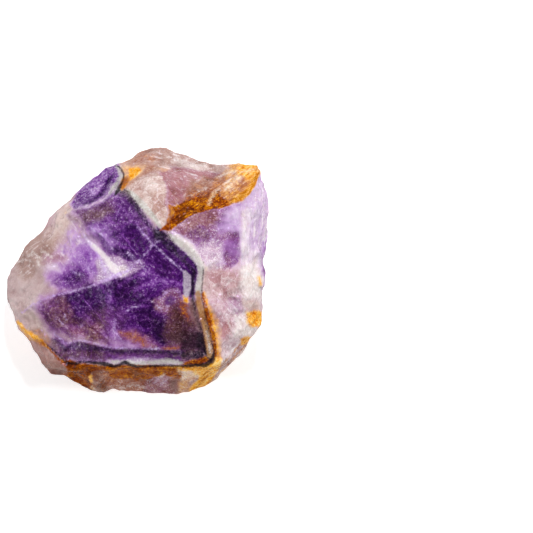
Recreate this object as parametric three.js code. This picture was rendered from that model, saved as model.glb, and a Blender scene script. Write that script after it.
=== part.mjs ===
// A rough chunk of chevron amethyst, broken out of a vein: one stone, in millimetres, +Z up.
// It lies on its flat underside, and the broken face that shows the zigzag of bands looks up.
// The origin is the middle of the rest face.
import * as THREE from "three";
import { ConvexHull } from "three/addons/math/ConvexHull.js";
import { ImprovedNoise } from "three/addons/math/ImprovedNoise.js";
import { mergeVertices } from "three/addons/utils/BufferGeometryUtils.js";

// Driving dimensions: the stone's overall size.
const WIDTH = 60;
const DEPTH = 56.5;
const THICKNESS = 34;

// How sharp the broken surface is: 1 holds an edge where it is drawn, 0 lets it round off.
const RIDGE_HOLD = 1;
const RIM_HOLD = 0.75;
const FLANK_HOLD = 0.9;

// How finely the surface is divided, and how far the spaces between the ridges round off.
const SPLITS = 2;
const RELAX_PASSES = 2;
const RELAX_SHARE = 0.5;

// Small unevenness all over the broken surface: [wavelength, height].
const LUMPS = [
  [8, 0.6],
  [3.4, 0.16],
];

// The chipped look: cells of this size, each a plane of its own with up to this much tilt. The
// sharper the chips, the narrower the step from one to the next.
const CHIP_SIZE = 6.5;
const CHIP_TILT = 0.17;
const CHIP_SHARPNESS = 6;
// The banded face broke cleaner than the rest: its middle, its reach and its share of the chips.
const CLEAN_FACE = new THREE.Vector3(1, -6, 30);
const CLEAN_REACH = 19;
const CLEAN_SHARE = 0.4;
const REST_HEIGHT = 0.4; // vertices below this belong to the flat rest face

// The outline seen from above, clockwise from its top peak: [x, y, z].
const RIM = [
  [3.3, 28.2, 16], [6.0, 27.8, 16.5], [9.2, 26.7, 17], [13.3, 25.4, 17], [17.0, 24.5, 17.5],
  [20.2, 24.0, 18], [23.0, 24.6, 18.5], [25.4, 24.9, 19], [27.4, 24.7, 19], [28.5, 23.4, 18.6],
  [28.9, 20.9, 17.5], [29.4, 17.6, 16.5], [30.0, 13.0, 16], [29.8, 9.6, 15], [29.4, 6.2, 14],
  [28.7, 2.3, 13], [29.3, -0.9, 12.5], [28.4, -5.1, 12], [28.4, -8.9, 12.5], [27.5, -12.6, 13],
  [25.7, -15.3, 13.5], [23.6, -18.1, 13.5], [20.9, -21.5, 13], [17.7, -24.5, 12.5], [14.7, -26.4, 12],
  [11.1, -27.7, 11], [7.4, -28.2, 10.5], [3.3, -27.7, 10.5], [-0.6, -27.3, 10.5], [-4.3, -27.4, 11],
  [-5.7, -27.0, 11], [-7.7, -27.5, 11], [-10.4, -27.1, 10.5], [-13.8, -25.5, 10.5], [-16.2, -24.0, 10.5],
  [-19.1, -23.4, 10.5], [-21.7, -21.4, 11], [-23.3, -18.9, 11.5], [-25.1, -15.8, 12.5],
  [-26.9, -13.6, 12.5], [-28.4, -9.5, 12], [-29.8, -6.4, 11], [-30.0, -3.2, 10.5], [-29.0, 0, 11],
  [-26.9, 3.1, 12], [-24.6, 6.4, 12.5], [-21.8, 9.1, 13], [-20.0, 12.0, 13.5], [-17.5, 14.6, 14],
  [-15.2, 16.3, 14], [-12.3, 19.0, 14], [-10.2, 21.1, 14.5], [-7.5, 23.4, 15], [-5.0, 24.2, 16],
  [-2.4, 25.3, 16], [0.5, 27.2, 16],
];
const RIM_RIGHT_PEAK = 8;
const RIM_NOOK_END = 53;

// Ridges and creases of the upper face.
const LONG_CREASE = [
  [-26.0, -9.4, 19], [-23.7, -7.7, 21.5], [-20.3, -6.1, 24], [-14.8, -4.6, 26.5], [-9.5, -3.0, 28.5],
  [-5.9, -1.6, 30], [-3.8, -1.4, 30.5], [-0.8, -0.3, 31.5], [1.7, 2.3, 32.8], [3.7, 5.7, 33.6],
  [6.5, 8.9, 34.2],
];
const BAND_EDGE = [
  [9.7, 6.8, 33.8], [13.1, 4.6, 33.2], [15.1, 1.3, 32.3], [15.3, -1.6, 31.8], [14.9, -4.8, 31.2],
  [15.7, -8.7, 30], [16.7, -12.6, 28.6], [17.6, -17.2, 26.8], [18.2, -20.8, 25.2],
];
const LOWER_EDGE = [
  [14.3, -21.9, 24.8], [9.0, -22.0, 24.6], [3.3, -22.1, 24.2], [-1.7, -21.5, 24.3], [-6.3, -22.0, 23.6],
  [-10.4, -21.3, 23], [-14.6, -21.8, 21.5], [-17.3, -20.2, 21], [-19.6, -17.9, 20.6], [-21.9, -16.1, 19],
  [-24.4, -14.9, 16.5],
];
const VEIL_LEDGE = [
  [-13.9, 13.7, 23.5], [-10.9, 10.5, 27], [-7.9, 7.5, 29], [-5.9, 4.1, 30], [-4.0, 0.7, 30.6],
];
const NOOK_CREASE = [
  [-13.6, 14.8, 20.5], [-10.9, 16.1, 21.5], [-7.7, 17.2, 22.5], [-6.3, 19.4, 22.5], [-5.2, 21.7, 20.5],
  [-4.7, 23.5, 17.5],
];
const NOOK_LIP = [
  [-10.9, 13.7, 25.2], [-7.9, 15.1, 26.3], [-5.0, 16.7, 27.2], [-3.8, 19.0, 25.5], [-3.1, 21.7, 22.5],
];
const PALE_EDGE = [
  [-1.1, 22.6, 21.5], [1.5, 24.0, 21.5], [4.0, 24.0, 22.5], [5.6, 21.7, 26], [6.9, 19.0, 29],
  [7.1, 15.5, 31.5], [6.8, 11.9, 33.6],
];
const AMBER_EDGE = [
  [8.8, 10.5, 33], [12.4, 12.8, 31.4], [17.5, 13.8, 29.2], [21.6, 15.1, 27], [24.6, 16.8, 25],
  [26.7, 19.9, 22.6], [28.0, 22.4, 20.8],
];
const AMBER_STEP = [
  [24.8, 23.0, 20.8], [22.5, 20.8, 22.6], [19.3, 18.4, 25.4], [16.3, 16.4, 27.6], [13.1, 14.6, 29.4],
];
const RIGHT_RIDGE = [
  [22.7, 12.1, 26.8], [23.4, 8.4, 27.2], [23.9, 4.8, 27.4], [23.8, 1.6, 27.2], [22.5, -1.2, 27.4],
];
const OUTER_STEP = [
  [28.2, 18.0, 20.5], [28.0, 13.5, 20.5], [27.4, 8.0, 20.6], [28.0, 4.3, 19], [28.1, 0.2, 17.5],
  [27.9, -3.9, 16.5],
];
const CORNER_RIB = [[19.3, -3.5, 29.3], [19.8, -7.3, 28.4], [20.9, -11.2, 26], [22.5, -15.3, 21.5]];
const RIM_SHELF = [[26.2, -12.8, 17.5], [23.6, -16.5, 16.5], [20.9, -20.0, 17.5], [18.2, -22.7, 17.8]];
const LOW_RIB = [[-8.8, -23.6, 20], [-9.3, -25.9, 15.5]];

// Places between the ridges, where the surface runs through without an edge.
const MAIN_FACE = [
  [2.8, -6.7, 32.2], [-4.5, -8.5, 30], [-12.5, -9.9, 27], [-19.6, -10.8, 23.5], [9.7, -6.7, 32.2],
  [11.1, -14.4, 29.6], [2.8, -15.3, 28.6], [-5.9, -16.3, 26.2], [-13.6, -16.3, 24], [9.2, -18.6, 27.2],
  [7.4, -0.3, 33.2], [11.1, 2.0, 33.2], [-22.8, -11.7, 20.2], [-25.5, -11.9, 17],
];
const UPPER_FACE = [
  [-2.2, 9.4, 31], [1.7, 7.5, 32.8], [-4.5, 13.0, 29], [0.5, 13.0, 31], [-1.7, 4.8, 31.4],
  [2.8, 10.7, 32.8], [-6.8, 11.2, 28.2],
];
const LEFT_LOBES = [
  [-17.3, 10.7, 19.5], [-15.0, 7.5, 23.2], [-13.2, 3.6, 26.2], [-9.8, 0.7, 28], [-17.8, 5.2, 21.5],
  [-21.2, 5.7, 17.8], [-21.0, 1.6, 20.2], [-17.3, -0.9, 24.2], [-13.2, -1.9, 26.6], [-24.2, 2.0, 16],
  [-26.0, -2.5, 16.2], [-22.8, -3.9, 20], [-26.9, -6.2, 16.5], [-8.6, 4.8, 27.6],
];
const NOOK_FACE = [[-9.1, 18.5, 18.5], [-11.4, 18.0, 18], [-6.8, 21.3, 18.5]];
const PALE_FACE = [[0.5, 19.6, 26], [3.3, 17.6, 29.4], [2.8, 21.3, 25.6], [4.7, 13.5, 32.4], [0.1, 16.7, 29]];
const SCOOP = [
  [8.8, 17.1, 28.4], [9.7, 13.9, 30.4], [9.2, 20.8, 24.4], [12.4, 18.0, 26.6], [7.4, 24.2, 21],
  [12.0, 22.6, 22], [16.1, 20.8, 23], [19.8, 21.7, 21], [21.6, 18.5, 24.4], [17.5, 16.2, 27.4],
  [2.8, 26.3, 19], [21.6, 16.7, 25.8], [14.7, 23.5, 20],
];
const RIGHT_FACE = [
  [11.1, 9.8, 32.8], [15.4, 9.8, 31], [19.3, 11.2, 29], [15.4, 5.7, 32], [19.3, 6.6, 29.6],
  [19.3, 2.0, 29.6], [17.0, -1.4, 30.8], [25.7, 14.8, 24.4], [26.2, 10.7, 24.2], [25.9, 5.7, 24],
  [25.9, 1.1, 23.6], [25.2, -3.0, 23.6], [23.0, -4.4, 26.4],
];
const CORNER_FACE = [
  [17.5, -6.7, 29.6], [18.4, -11.7, 27.8], [18.8, -16.7, 25.4], [23.6, -7.8, 25.2], [23.4, -11.7, 23.4],
  [26.2, -8.0, 20.6], [26.2, -10.8, 18.8], [20.7, -15.8, 23.6], [20.2, -18.1, 21.6],
];
const LOWER_BEVEL = [
  [-20.5, -19.0, 17], [-19.6, -21.3, 14.8], [-16.8, -22.4, 16.2], [-13.2, -23.6, 16.4],
  [-11.4, -25.0, 14.6], [-5.9, -24.5, 17], [-3.1, -25.2, 15.8], [0.1, -24.7, 16.8], [2.8, -25.6, 15.6],
  [5.8, -24.7, 18.4], [8.8, -25.0, 18], [6.5, -26.8, 14.6], [12.0, -24.5, 17.6], [14.9, -23.8, 18.6],
  [13.8, -25.4, 15], [0.5, -26.3, 13.6],
];

// The broken flanks under the outline, ring by ring: shoulder, waist, corners of the flat rest face.
const SHOULDER = [
  [4, 26.2, 10.5], [10.5, 25.6, 11.5], [17.5, 22.4, 10], [24.5, 23.2, 12.5], [28.3, 20, 10.5],
  [27.2, 14.5, 9.5], [29, 8.5, 9], [27, 3.5, 8], [28.4, -1.5, 7.5], [27.8, -8, 7], [24.2, -14.2, 8.5],
  [21, -19.6, 7.5], [15, -24.2, 8], [9.5, -27, 6.5], [2.5, -25.6, 7], [-4, -26.4, 6], [-10.5, -25.2, 7.5],
  [-17.5, -23, 6.5], [-20.8, -19.2, 8], [-25.8, -13.4, 7.5], [-27, -8.2, 6.5], [-29.2, -3.4, 6.5],
  [-25.6, 1.4, 8], [-22.6, 7, 7.5], [-17.4, 11.6, 9], [-13.6, 16.8, 8.5], [-8, 20.2, 9.5],
  [-3.4, 24.2, 10.5],
];
const WAIST = [
  [5, 24.4, 5], [14, 22, 4.2], [22.5, 20.6, 5.6], [26, 14, 4], [27, 6, 3.4], [25.4, -2.5, 4.4],
  [25.2, -9.5, 2.8], [19.5, -17, 4], [12, -23, 3.2], [3.5, -23.6, 4.4], [-6, -24.2, 2.8],
  [-14.5, -21, 4.2], [-20.5, -16.5, 3], [-25.2, -9, 4], [-26, -1, 3], [-19.6, 5.6, 4.6],
  [-14.2, 12.6, 3.6], [-6.4, 19.4, 4.8],
];
const FOOT = [
  [2, 20.5, 0], [10, 20.8, 0], [19, 17.5, 0], [23.5, 9, 0], [22.2, 1, 0], [22.5, -7.5, 0], [16, -15.5, 0],
  [8.5, -20.5, 0], [0, -19.6, 0], [-9.5, -20.8, 0], [-16.5, -15, 0], [-21.5, -6.5, 0], [-18, 1.5, 0],
  [-13.5, 7.5, 0], [-8.5, 15.5, 0],
];
const REST_MIDDLE = [[1, -1, 0]];

// Dished breaks, where a flake came off: [x, y, z, radius, depth].
const DISHES = [
  [-21.5, 8, 15, 5.5, 0.9],
  [-17, 2.5, 23, 4.5, 0.5],
  [13, 21, 22, 8, 1.3],
  [20, 5, 29, 6, 0.6],
  [22, -9, 25, 5.5, 0.7],
  [-14.5, -24, 14, 5, 0.9],
  [1, -25.5, 15, 5.5, 0.9],
  [28, -2, 9, 7, 1.1],
  [16, -24, 7, 7, 1.2],
  [-21, -18, 6, 7, 1.2],
  [-26, 4, 5, 7, 1.1],
  [-4, 24, 9, 7, 1.0],
  [24, 20, 8, 8, 1.3],
];

const corners = [];
const edgeHold = new Map();
const edgeKey = (a, b) => (a < b ? `${a}_${b}` : `${b}_${a}`);

function place(list) {
  return list.map(([x, y, z]) => corners.push(new THREE.Vector3(x, y, z)) - 1);
}

function holdChain(chain, hold) {
  for (let i = 1; i < chain.length; i++) edgeHold.set(edgeKey(chain[i - 1], chain[i]), hold);
}

// Triangles between points seen from above: the lower hull of the points lifted onto a paraboloid
// is their Delaunay triangulation. Triangles outside the outline are dropped.
function upperTriangles(indices, outline) {
  const lifted = new Map();
  for (const i of indices) {
    const { x, y } = corners[i];
    lifted.set(new THREE.Vector3(x, y, x * x + y * y), i);
  }
  const hull = new ConvexHull().setFromPoints([...lifted.keys()]);
  const triangles = [];
  for (const face of hull.faces) {
    if (face.normal.z > -1e-9) continue;
    const ends = [face.edge, face.edge.next, face.edge.prev].map((edge) => lifted.get(edge.head().point));
    const [a, b, c] = ends.map((i) => corners[i]);
    if (!insideOutline((a.x + b.x + c.x) / 3, (a.y + b.y + c.y) / 3, outline)) continue;
    const turn = (b.x - a.x) * (c.y - a.y) - (b.y - a.y) * (c.x - a.x);
    triangles.push(turn > 0 ? ends : [ends[0], ends[2], ends[1]]);
  }
  return triangles;
}

function insideOutline(x, y, outline) {
  let inside = false;
  for (let i = 0, j = outline.length - 1; i < outline.length; j = i++) {
    const a = corners[outline[i]];
    const b = corners[outline[j]];
    if (a.y > y !== b.y > y && x < ((b.x - a.x) * (y - a.y)) / (b.y - a.y) + a.x) inside = !inside;
  }
  return inside;
}

// Triangles between two closed rings that both run clockwise, taking the shorter new edge at each step.
function zip(upper, lower) {
  const nearest = (i) => corners[upper[0]].distanceTo(corners[lower[i]]);
  const start = lower.reduce((best, _, i) => (nearest(i) < nearest(best) ? i : best), 0);
  const triangles = [];
  let u = 0;
  let l = 0;
  const top = (i) => upper[i % upper.length];
  const low = (i) => lower[(start + i) % lower.length];
  while (u < upper.length || l < lower.length) {
    const alongTop = corners[top(u + 1)].distanceTo(corners[low(l)]);
    const alongLow = corners[top(u)].distanceTo(corners[low(l + 1)]);
    if (l >= lower.length || (u < upper.length && alongTop < alongLow)) {
      triangles.push([top(u), top(u + 1), low(l)]);
      u++;
    } else {
      triangles.push([top(u), low(l + 1), low(l)]);
      l++;
    }
    edgeHold.set(edgeKey(top(u), low(l)), FLANK_HOLD);
  }
  return triangles;
}

// Every triangle becomes four. The halves of a held edge stay held.
function split(triangles) {
  const middles = new Map();
  const middle = (a, b) => {
    const key = edgeKey(a, b);
    if (!middles.has(key)) {
      const m = corners.push(corners[a].clone().lerp(corners[b], 0.5)) - 1;
      middles.set(key, m);
      if (edgeHold.has(key)) holdChain([a, m, b], edgeHold.get(key));
    }
    return middles.get(key);
  };
  return triangles.flatMap(([a, b, c]) => {
    const [ab, bc, ca] = [middle(a, b), middle(b, c), middle(c, a)];
    return [[a, ab, ca], [ab, b, bc], [ca, bc, c], [ab, bc, ca]];
  });
}

// Lets the surface between the held edges round off. The rest face stays flat.
function relax(triangles, passes) {
  const neighbours = corners.map(() => new Set());
  const hold = corners.map(() => 0);
  for (const [a, b, c] of triangles) {
    for (const [p, q] of [[a, b], [b, c], [c, a]]) {
      neighbours[p].add(q);
      neighbours[q].add(p);
      const held = edgeHold.get(edgeKey(p, q)) ?? 0;
      hold[p] = Math.max(hold[p], held);
      hold[q] = Math.max(hold[q], held);
    }
  }
  for (let pass = 0; pass < passes; pass++) {
    const moved = corners.map((corner, i) => {
      if (corner.z < REST_HEIGHT) return corner.clone();
      const mean = new THREE.Vector3();
      for (const n of neighbours[i]) mean.add(corners[n]);
      mean.divideScalar(neighbours[i].size);
      return corner.clone().lerp(mean, RELAX_SHARE * (1 - hold[i]));
    });
    moved.forEach((corner, i) => corners[i].copy(corner));
  }
}

// A number from 0 to 1 that a cell keeps for each of its properties.
function whim(cell, property) {
  const wave = Math.sin(cell[0] * 127.1 + cell[1] * 311.7 + cell[2] * 74.7 + property * 53.3) * 43758.5453;
  return wave - Math.floor(wave);
}

// How far the surface stands out with its chips: every cell of a jittered grid tilts its own way.
function chipped(at) {
  const home = at.toArray().map((value) => Math.floor(value / CHIP_SIZE));
  const steps = [-1, 0, 1];
  let stands = 0;
  let weights = 0;
  for (const i of steps) {
    for (const j of steps) {
      for (const k of steps) {
        const cell = [home[0] + i, home[1] + j, home[2] + k];
        const seed = new THREE.Vector3(...cell.map((index, axis) => (index + whim(cell, axis)) * CHIP_SIZE));
        const tilt = new THREE.Vector3(...cell.map((_, axis) => (2 * whim(cell, axis + 3) - 1) * CHIP_TILT));
        const away = at.distanceTo(seed) / CHIP_SIZE;
        const weight = Math.exp(-CHIP_SHARPNESS * away * away);
        stands += weight * tilt.dot(at.clone().sub(seed));
        weights += weight;
      }
    }
  }
  const clean = Math.max(0, 1 - at.distanceTo(CLEAN_FACE) / CLEAN_REACH);
  return (stands / weights) * (1 - (1 - CLEAN_SHARE) * Math.min(1, 3 * clean));
}

// Pushes each vertex along its normal: dished breaks inwards, lumps and chips both ways.
function roughen(geometry) {
  geometry.computeVertexNormals();
  const noise = new ImprovedNoise();
  const position = geometry.attributes.position;
  const normal = geometry.attributes.normal;
  const at = new THREE.Vector3();
  const out = new THREE.Vector3();
  for (let i = 0; i < position.count; i++) {
    at.fromBufferAttribute(position, i);
    if (at.z < REST_HEIGHT) continue;
    out.fromBufferAttribute(normal, i);
    let push = chipped(at);
    for (const [wavelength, height] of LUMPS) {
      push += height * noise.noise(at.x / wavelength, at.y / wavelength, at.z / wavelength);
    }
    for (const [x, y, z, radius, depth] of DISHES) {
      const away = at.distanceTo(new THREE.Vector3(x, y, z)) / radius;
      if (away < 1) push -= depth * (1 - away * away);
    }
    at.addScaledVector(out, push);
    position.setXYZ(i, at.x, at.y, Math.max(at.z, REST_HEIGHT));
  }
}

// Brings the stone to its overall size and sets it on the rest face, centred on the origin.
function fit(geometry) {
  geometry.computeBoundingBox();
  const { min, max } = geometry.boundingBox;
  geometry.translate(-(min.x + max.x) / 2, -(min.y + max.y) / 2, -min.z);
  geometry.scale(WIDTH / (max.x - min.x), DEPTH / (max.y - min.y), THICKNESS / (max.z - min.z));
}

function stoneGeometry() {
  const rim = place(RIM);
  const longCrease = place(LONG_CREASE);
  const apex = longCrease.at(-1);
  const bandEdge = place(BAND_EDGE);
  const lowerEdge = place(LOWER_EDGE);
  const veilLedge = place(VEIL_LEDGE);
  const nookCrease = place(NOOK_CREASE);
  const nookLip = place(NOOK_LIP);
  const paleEdge = place(PALE_EDGE);
  const amberEdge = place(AMBER_EDGE);
  const amberStep = place(AMBER_STEP);
  const rightRidge = place(RIGHT_RIDGE);
  const outerStep = place(OUTER_STEP);
  const ribs = [CORNER_RIB, RIM_SHELF, LOW_RIB].map(place);
  const between = [
    MAIN_FACE, UPPER_FACE, LEFT_LOBES, NOOK_FACE, PALE_FACE, SCOOP, RIGHT_FACE, CORNER_FACE, LOWER_BEVEL,
  ].flatMap(place);
  const ridges = [
    [...longCrease, ...bandEdge, ...lowerEdge],
    [...veilLedge, longCrease[6]],
    [...nookCrease, rim[RIM_NOOK_END]],
    [...nookLip, ...paleEdge, apex],
    [apex, ...amberEdge, rim[RIM_RIGHT_PEAK]],
    amberStep,
    [amberEdge[3], ...rightRidge],
    outerStep,
    ...ribs,
  ];
  for (const ridge of ridges) holdChain(ridge, RIDGE_HOLD);
  holdChain([...rim, rim[0]], RIM_HOLD);
  const shoulder = place(SHOULDER);
  const waist = place(WAIST);
  const foot = place(FOOT);
  const rest = place(REST_MIDDLE);
  const upper = new Set([...rim, ...ridges.flat(), ...between]);
  let triangles = [
    ...upperTriangles([...upper], rim),
    ...zip(rim, shoulder),
    ...zip(shoulder, waist),
    ...zip(waist, foot),
    ...foot.map((corner, i) => [foot[(i + 1) % foot.length], rest[0], corner]),
  ];
  holdChain([...foot, foot[0]], RIDGE_HOLD);
  for (let i = 0; i < SPLITS; i++) triangles = split(triangles);
  relax(triangles, RELAX_PASSES);
  const geometry = new THREE.BufferGeometry().setFromPoints(triangles.flat().map((i) => corners[i]));
  const merged = mergeVertices(geometry, 1e-4);
  roughen(merged);
  fit(merged);
  merged.computeVertexNormals();
  return merged;
}

const amethyst = new THREE.MeshStandardMaterial({ color: 0x7a5a9e, roughness: 0.35, metalness: 0 });
const stone = new THREE.Mesh(stoneGeometry(), amethyst);
stone.name = "stone";
const part = new THREE.Group();
part.add(stone);

export default part;
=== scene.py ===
"""A rough chunk of chevron amethyst, lying on its flat broken side and seen from straight above.

The stone's own finish is all here: its broken surface, and the bands, veils and rust in the quartz.
Where a marking lies is written in pixels of the photograph, which is 533 pixels square, and
on_stone() turns them into metres on the stone.
"""
import math

import bpy
import numpy as np
from mathutils import Matrix, Vector, noise


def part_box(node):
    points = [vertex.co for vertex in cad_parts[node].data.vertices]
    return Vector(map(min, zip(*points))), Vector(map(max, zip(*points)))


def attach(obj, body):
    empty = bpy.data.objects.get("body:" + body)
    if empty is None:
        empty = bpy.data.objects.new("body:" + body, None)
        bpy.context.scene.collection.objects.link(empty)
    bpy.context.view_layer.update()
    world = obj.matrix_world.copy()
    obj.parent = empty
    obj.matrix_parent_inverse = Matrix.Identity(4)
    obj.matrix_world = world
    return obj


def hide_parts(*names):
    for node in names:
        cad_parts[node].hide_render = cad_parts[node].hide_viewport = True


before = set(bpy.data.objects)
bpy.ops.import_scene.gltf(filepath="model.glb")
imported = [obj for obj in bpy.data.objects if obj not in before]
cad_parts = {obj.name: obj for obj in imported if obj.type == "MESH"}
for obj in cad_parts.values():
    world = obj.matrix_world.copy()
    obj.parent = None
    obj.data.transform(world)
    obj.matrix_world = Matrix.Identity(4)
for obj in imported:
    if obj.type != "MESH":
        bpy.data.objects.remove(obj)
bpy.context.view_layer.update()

MM = 0.001
PHOTO_SIDE_PX = 533
STONE_WIDTH_PX = 262.3
STONE_MIDDLE_PX = (137.65, 270.9)
stone_low, stone_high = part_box("stone")
METRES_PER_PX = (stone_high.x - stone_low.x) / STONE_WIDTH_PX


def on_stone(px, py):
    """Where a pixel of the photograph lies, in metres, seen straight down."""
    x = (px - STONE_MIDDLE_PX[0]) * METRES_PER_PX
    y = (STONE_MIDDLE_PX[1] - py) * METRES_PER_PX
    return x, y


# The broken surface

SUBDIVISIONS = 3
MERGE_DISTANCE = 1e-6
SMOOTH_PASSES = 7
WEAR_PASSES = 1
SMOOTH_SHARE = 0.5
SWELL_SHARE = -0.52  # smooths backwards, which brings back what smoothing took off the whole
REST_TOP = 0.25 * MM  # what lies lower belongs to the flat rest face
SHARP_ANGLE = math.radians(38)

# The banded face broke cleaner than the rest: where its middle is, how far and how high up it lies,
# and the share of the breaks' depth that is left on it.
CLEAN_MIDDLE_PX = (140, 300)
CLEAN_REACH = 17 * MM
CLEAN_HEIGHT = 0.6 * stone_high.z
CLEAN_SHARE = 0.3
SIDE_SHARE = 0.4  # the share that is left on the sides
FACING_GAIN = 2  # a surface that leans less than 60 degrees counts as facing up

HACKLE_DEPTH = 0.16 * MM
HACKLE_SIZE = (4.5 * MM, 0.9 * MM, 2.0 * MM)  # along a streak, across it and up
FINE_HACKLES = 2.3  # how many times smaller the finer hackles are

# The rim swells in full beyond SWELL_TO from the middle, and not at all within SWELL_FROM or on the table.
SWELL_FROM = 16 * MM
SWELL_TO = 26 * MM
SWELL_FOOT = 5 * MM
# How far the stone's rim bulges out beyond the plain solid: degrees from +X, and millimetres.
RIM_SWELL = (
    (6, 0), (48, 0), (59, 1.05), (67, 1.0), (73, 0), (84, 0.5), (90, 0.8), (97, 0.55), (103, 0.6),
    (108, 0.7), (113, 0.35), (120, 1.45), (126, 0.95), (132, 0.95), (140, 0), (144, 0.2), (150, 1.0),
    (158, 1.0), (168, 1.4), (174, 0.75), (181, 0), (186, 0.9), (192, 1.15), (200, 0), (205, 0.15),
    (210, 0.6), (220, 1.05), (229, 1.8), (234, 1.5), (241, 1.7), (252, 1.1), (258, 0.6), (266, 1.0),
    (276, 1.4), (283, 1.0), (289, 0.3), (297, 0.7), (306, 1.65), (312, 1.0), (318, 0.6), (325, 0.95),
    (331, 1.1), (337, 0.4), (346, 0.6), (354, 0.9), (359, 0.5),
)

# Each kind of break: texture, size and depth.
BREAKS = {
    "big_chips": ("VORONOI", 4.6 * MM, 0.9 * MM),
    "small_chips": ("VORONOI", 1.9 * MM, 0.42 * MM),
    "hackles": ("MUSGRAVE", 2.2 * MM, 0.24 * MM),
}
BREAK_WEIGHTS = "break_weights"
BREAK_MIDDLE = 0.5  # the value of a pattern that leaves the surface where it is
RIDGE_CONTRAST = 0.6


def only_active(piece):
    """Selects one piece and nothing else."""
    bpy.ops.object.select_all(action="DESELECT")
    bpy.context.view_layer.objects.active = piece
    piece.select_set(True)


def vertex_places(piece):
    """All vertices of a piece, as rows of x, y, z."""
    places = np.empty(len(piece.data.vertices) * 3)
    piece.data.vertices.foreach_get("co", places)
    return places.reshape(-1, 3)


def vertex_normals(piece):
    """The normals of all vertices of a piece, as rows of x, y, z."""
    normals = np.empty(len(piece.data.vertices) * 3)
    piece.data.vertices.foreach_get("normal", normals)
    return normals.reshape(-1, 3)


def facing_up(normals):
    """How much of each vertex faces up, from 0 on the sides to 1 on the top."""
    return np.clip(normals[:, 2] * FACING_GAIN, 0, 1)


def move_vertices(piece, places):
    """Puts every vertex of a piece at its new place."""
    piece.data.vertices.foreach_set("co", places.ravel())
    piece.data.update()


def store(piece, name, values):
    """Keeps one value for each vertex under a name that the material reads."""
    layer = piece.data.attributes.new(name, "FLOAT", "POINT")
    layer.data.foreach_set("value", values.astype(np.float32))


def smooth_broken_surface(piece, passes):
    """Rounds off every vertex that isn't on the rest face."""
    places = vertex_places(piece)
    piece.data.polygons.foreach_set("select", np.zeros(len(piece.data.polygons), bool))
    piece.data.edges.foreach_set("select", np.zeros(len(piece.data.edges), bool))
    piece.data.vertices.foreach_set("select", places[:, 2] > REST_TOP)
    bpy.ops.object.mode_set(mode="EDIT")
    for _ in range(passes):
        bpy.ops.mesh.vertices_smooth(factor=SMOOTH_SHARE)
        bpy.ops.mesh.vertices_smooth(factor=SWELL_SHARE)
    bpy.ops.object.mode_set(mode="OBJECT")


def swell_rim(piece):
    """Bulges the sides out where the stone reaches further than the plain solid, within the solid's box."""
    places = vertex_places(piece)
    degrees, reach = zip(*RIM_SWELL)
    away = np.linalg.norm(places[:, :2], axis=1)
    bearing = np.degrees(np.arctan2(places[:, 1], places[:, 0])) % 360
    outer = np.clip((away - SWELL_FROM) / (SWELL_TO - SWELL_FROM), 0, 1)
    lifted = np.clip((places[:, 2] - REST_TOP) / SWELL_FOOT, 0, 1)
    swell = np.interp(bearing, degrees, reach, period=360) * MM * outer * lifted
    places[:, :2] *= 1 + (swell / np.maximum(away, MM))[:, None]
    move_vertices(piece, np.clip(places, stone_low, stone_high))


def break_texture(name, kind, size):
    """The pattern of one kind of break, from 0 at its deepest to 1 at its edges."""
    texture = bpy.data.textures.new(name, kind)
    texture.noise_scale = size
    if kind == "MUSGRAVE":
        texture.musgrave_type = "RIDGED_MULTIFRACTAL"
        texture.noise_intensity = RIDGE_CONTRAST
    return texture


def weigh_breaks(piece):
    """How deep the breaks go: less on the sides and the clean face, and not at all on the rest face."""
    middle = np.array(on_stone(*CLEAN_MIDDLE_PX))
    places = vertex_places(piece)
    upward = facing_up(vertex_normals(piece))
    away = np.linalg.norm(places[:, :2] - middle, axis=1) / CLEAN_REACH
    clean = np.clip(2 - 2 * away, 0, 1) * (places[:, 2] > CLEAN_HEIGHT)
    weights = (1 - (1 - CLEAN_SHARE) * clean) * (SIDE_SHARE + (1 - SIDE_SHARE) * upward)
    weights[places[:, 2] <= REST_TOP] = 0
    group = piece.vertex_groups.new(name=BREAK_WEIGHTS)
    for index, weight in enumerate(weights):
        group.add([index], weight, "REPLACE")


def break_surface(piece):
    """Carves the breaks, and keeps how deep they went, in millimetres."""
    whole = vertex_places(piece)
    outward = vertex_normals(piece)
    for name, (kind, size, depth) in BREAKS.items():
        carve = piece.modifiers.new(name, "DISPLACE")
        carve.texture = break_texture(name, kind, size)
        carve.texture_coords = "LOCAL"
        carve.direction = "NORMAL"
        carve.mid_level = BREAK_MIDDLE
        carve.strength = depth
        carve.vertex_group = BREAK_WEIGHTS
        bpy.ops.object.modifier_apply(modifier=carve.name)
    store(piece, "hollow", np.sum((whole - vertex_places(piece)) * outward, axis=1) / MM)


def streak_cover(places, name):
    """How strongly the streaks of one direction show at each place seen from above."""
    covers = [share * within_outline(places, outline, STREAK_SOFT_PX)
              for share, outline in STREAK_FIELDS[name]]
    return np.max(covers, axis=0)


def pull_hackles(piece):
    """Splinters the surface into slivers along the streaks, and keeps where the streaks show."""
    places = vertex_places(piece)
    depths = np.zeros(len(places))
    for name, angle in STREAK_ANGLES.items():
        shown = streak_cover(places[:, :2], name)
        store(piece, name, shown)
        turn = Matrix.Rotation(-math.radians(angle), 3, "Z")
        for index in np.flatnonzero((shown > 0) & (places[:, 2] > REST_TOP)):
            along, across, up = turn @ Vector(places[index])
            spot = Vector((along / HACKLE_SIZE[0], across / HACKLE_SIZE[1], up / HACKLE_SIZE[2]))
            crest = 1 - 2 * abs(noise.noise(spot)) - abs(noise.noise(spot * FINE_HACKLES))
            depths[index] = max(depths[index], (1 - crest) * shown[index] * HACKLE_DEPTH)
    normals = vertex_normals(piece)
    depths *= facing_up(normals)
    move_vertices(piece, places - normals * depths[:, None])


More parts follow.
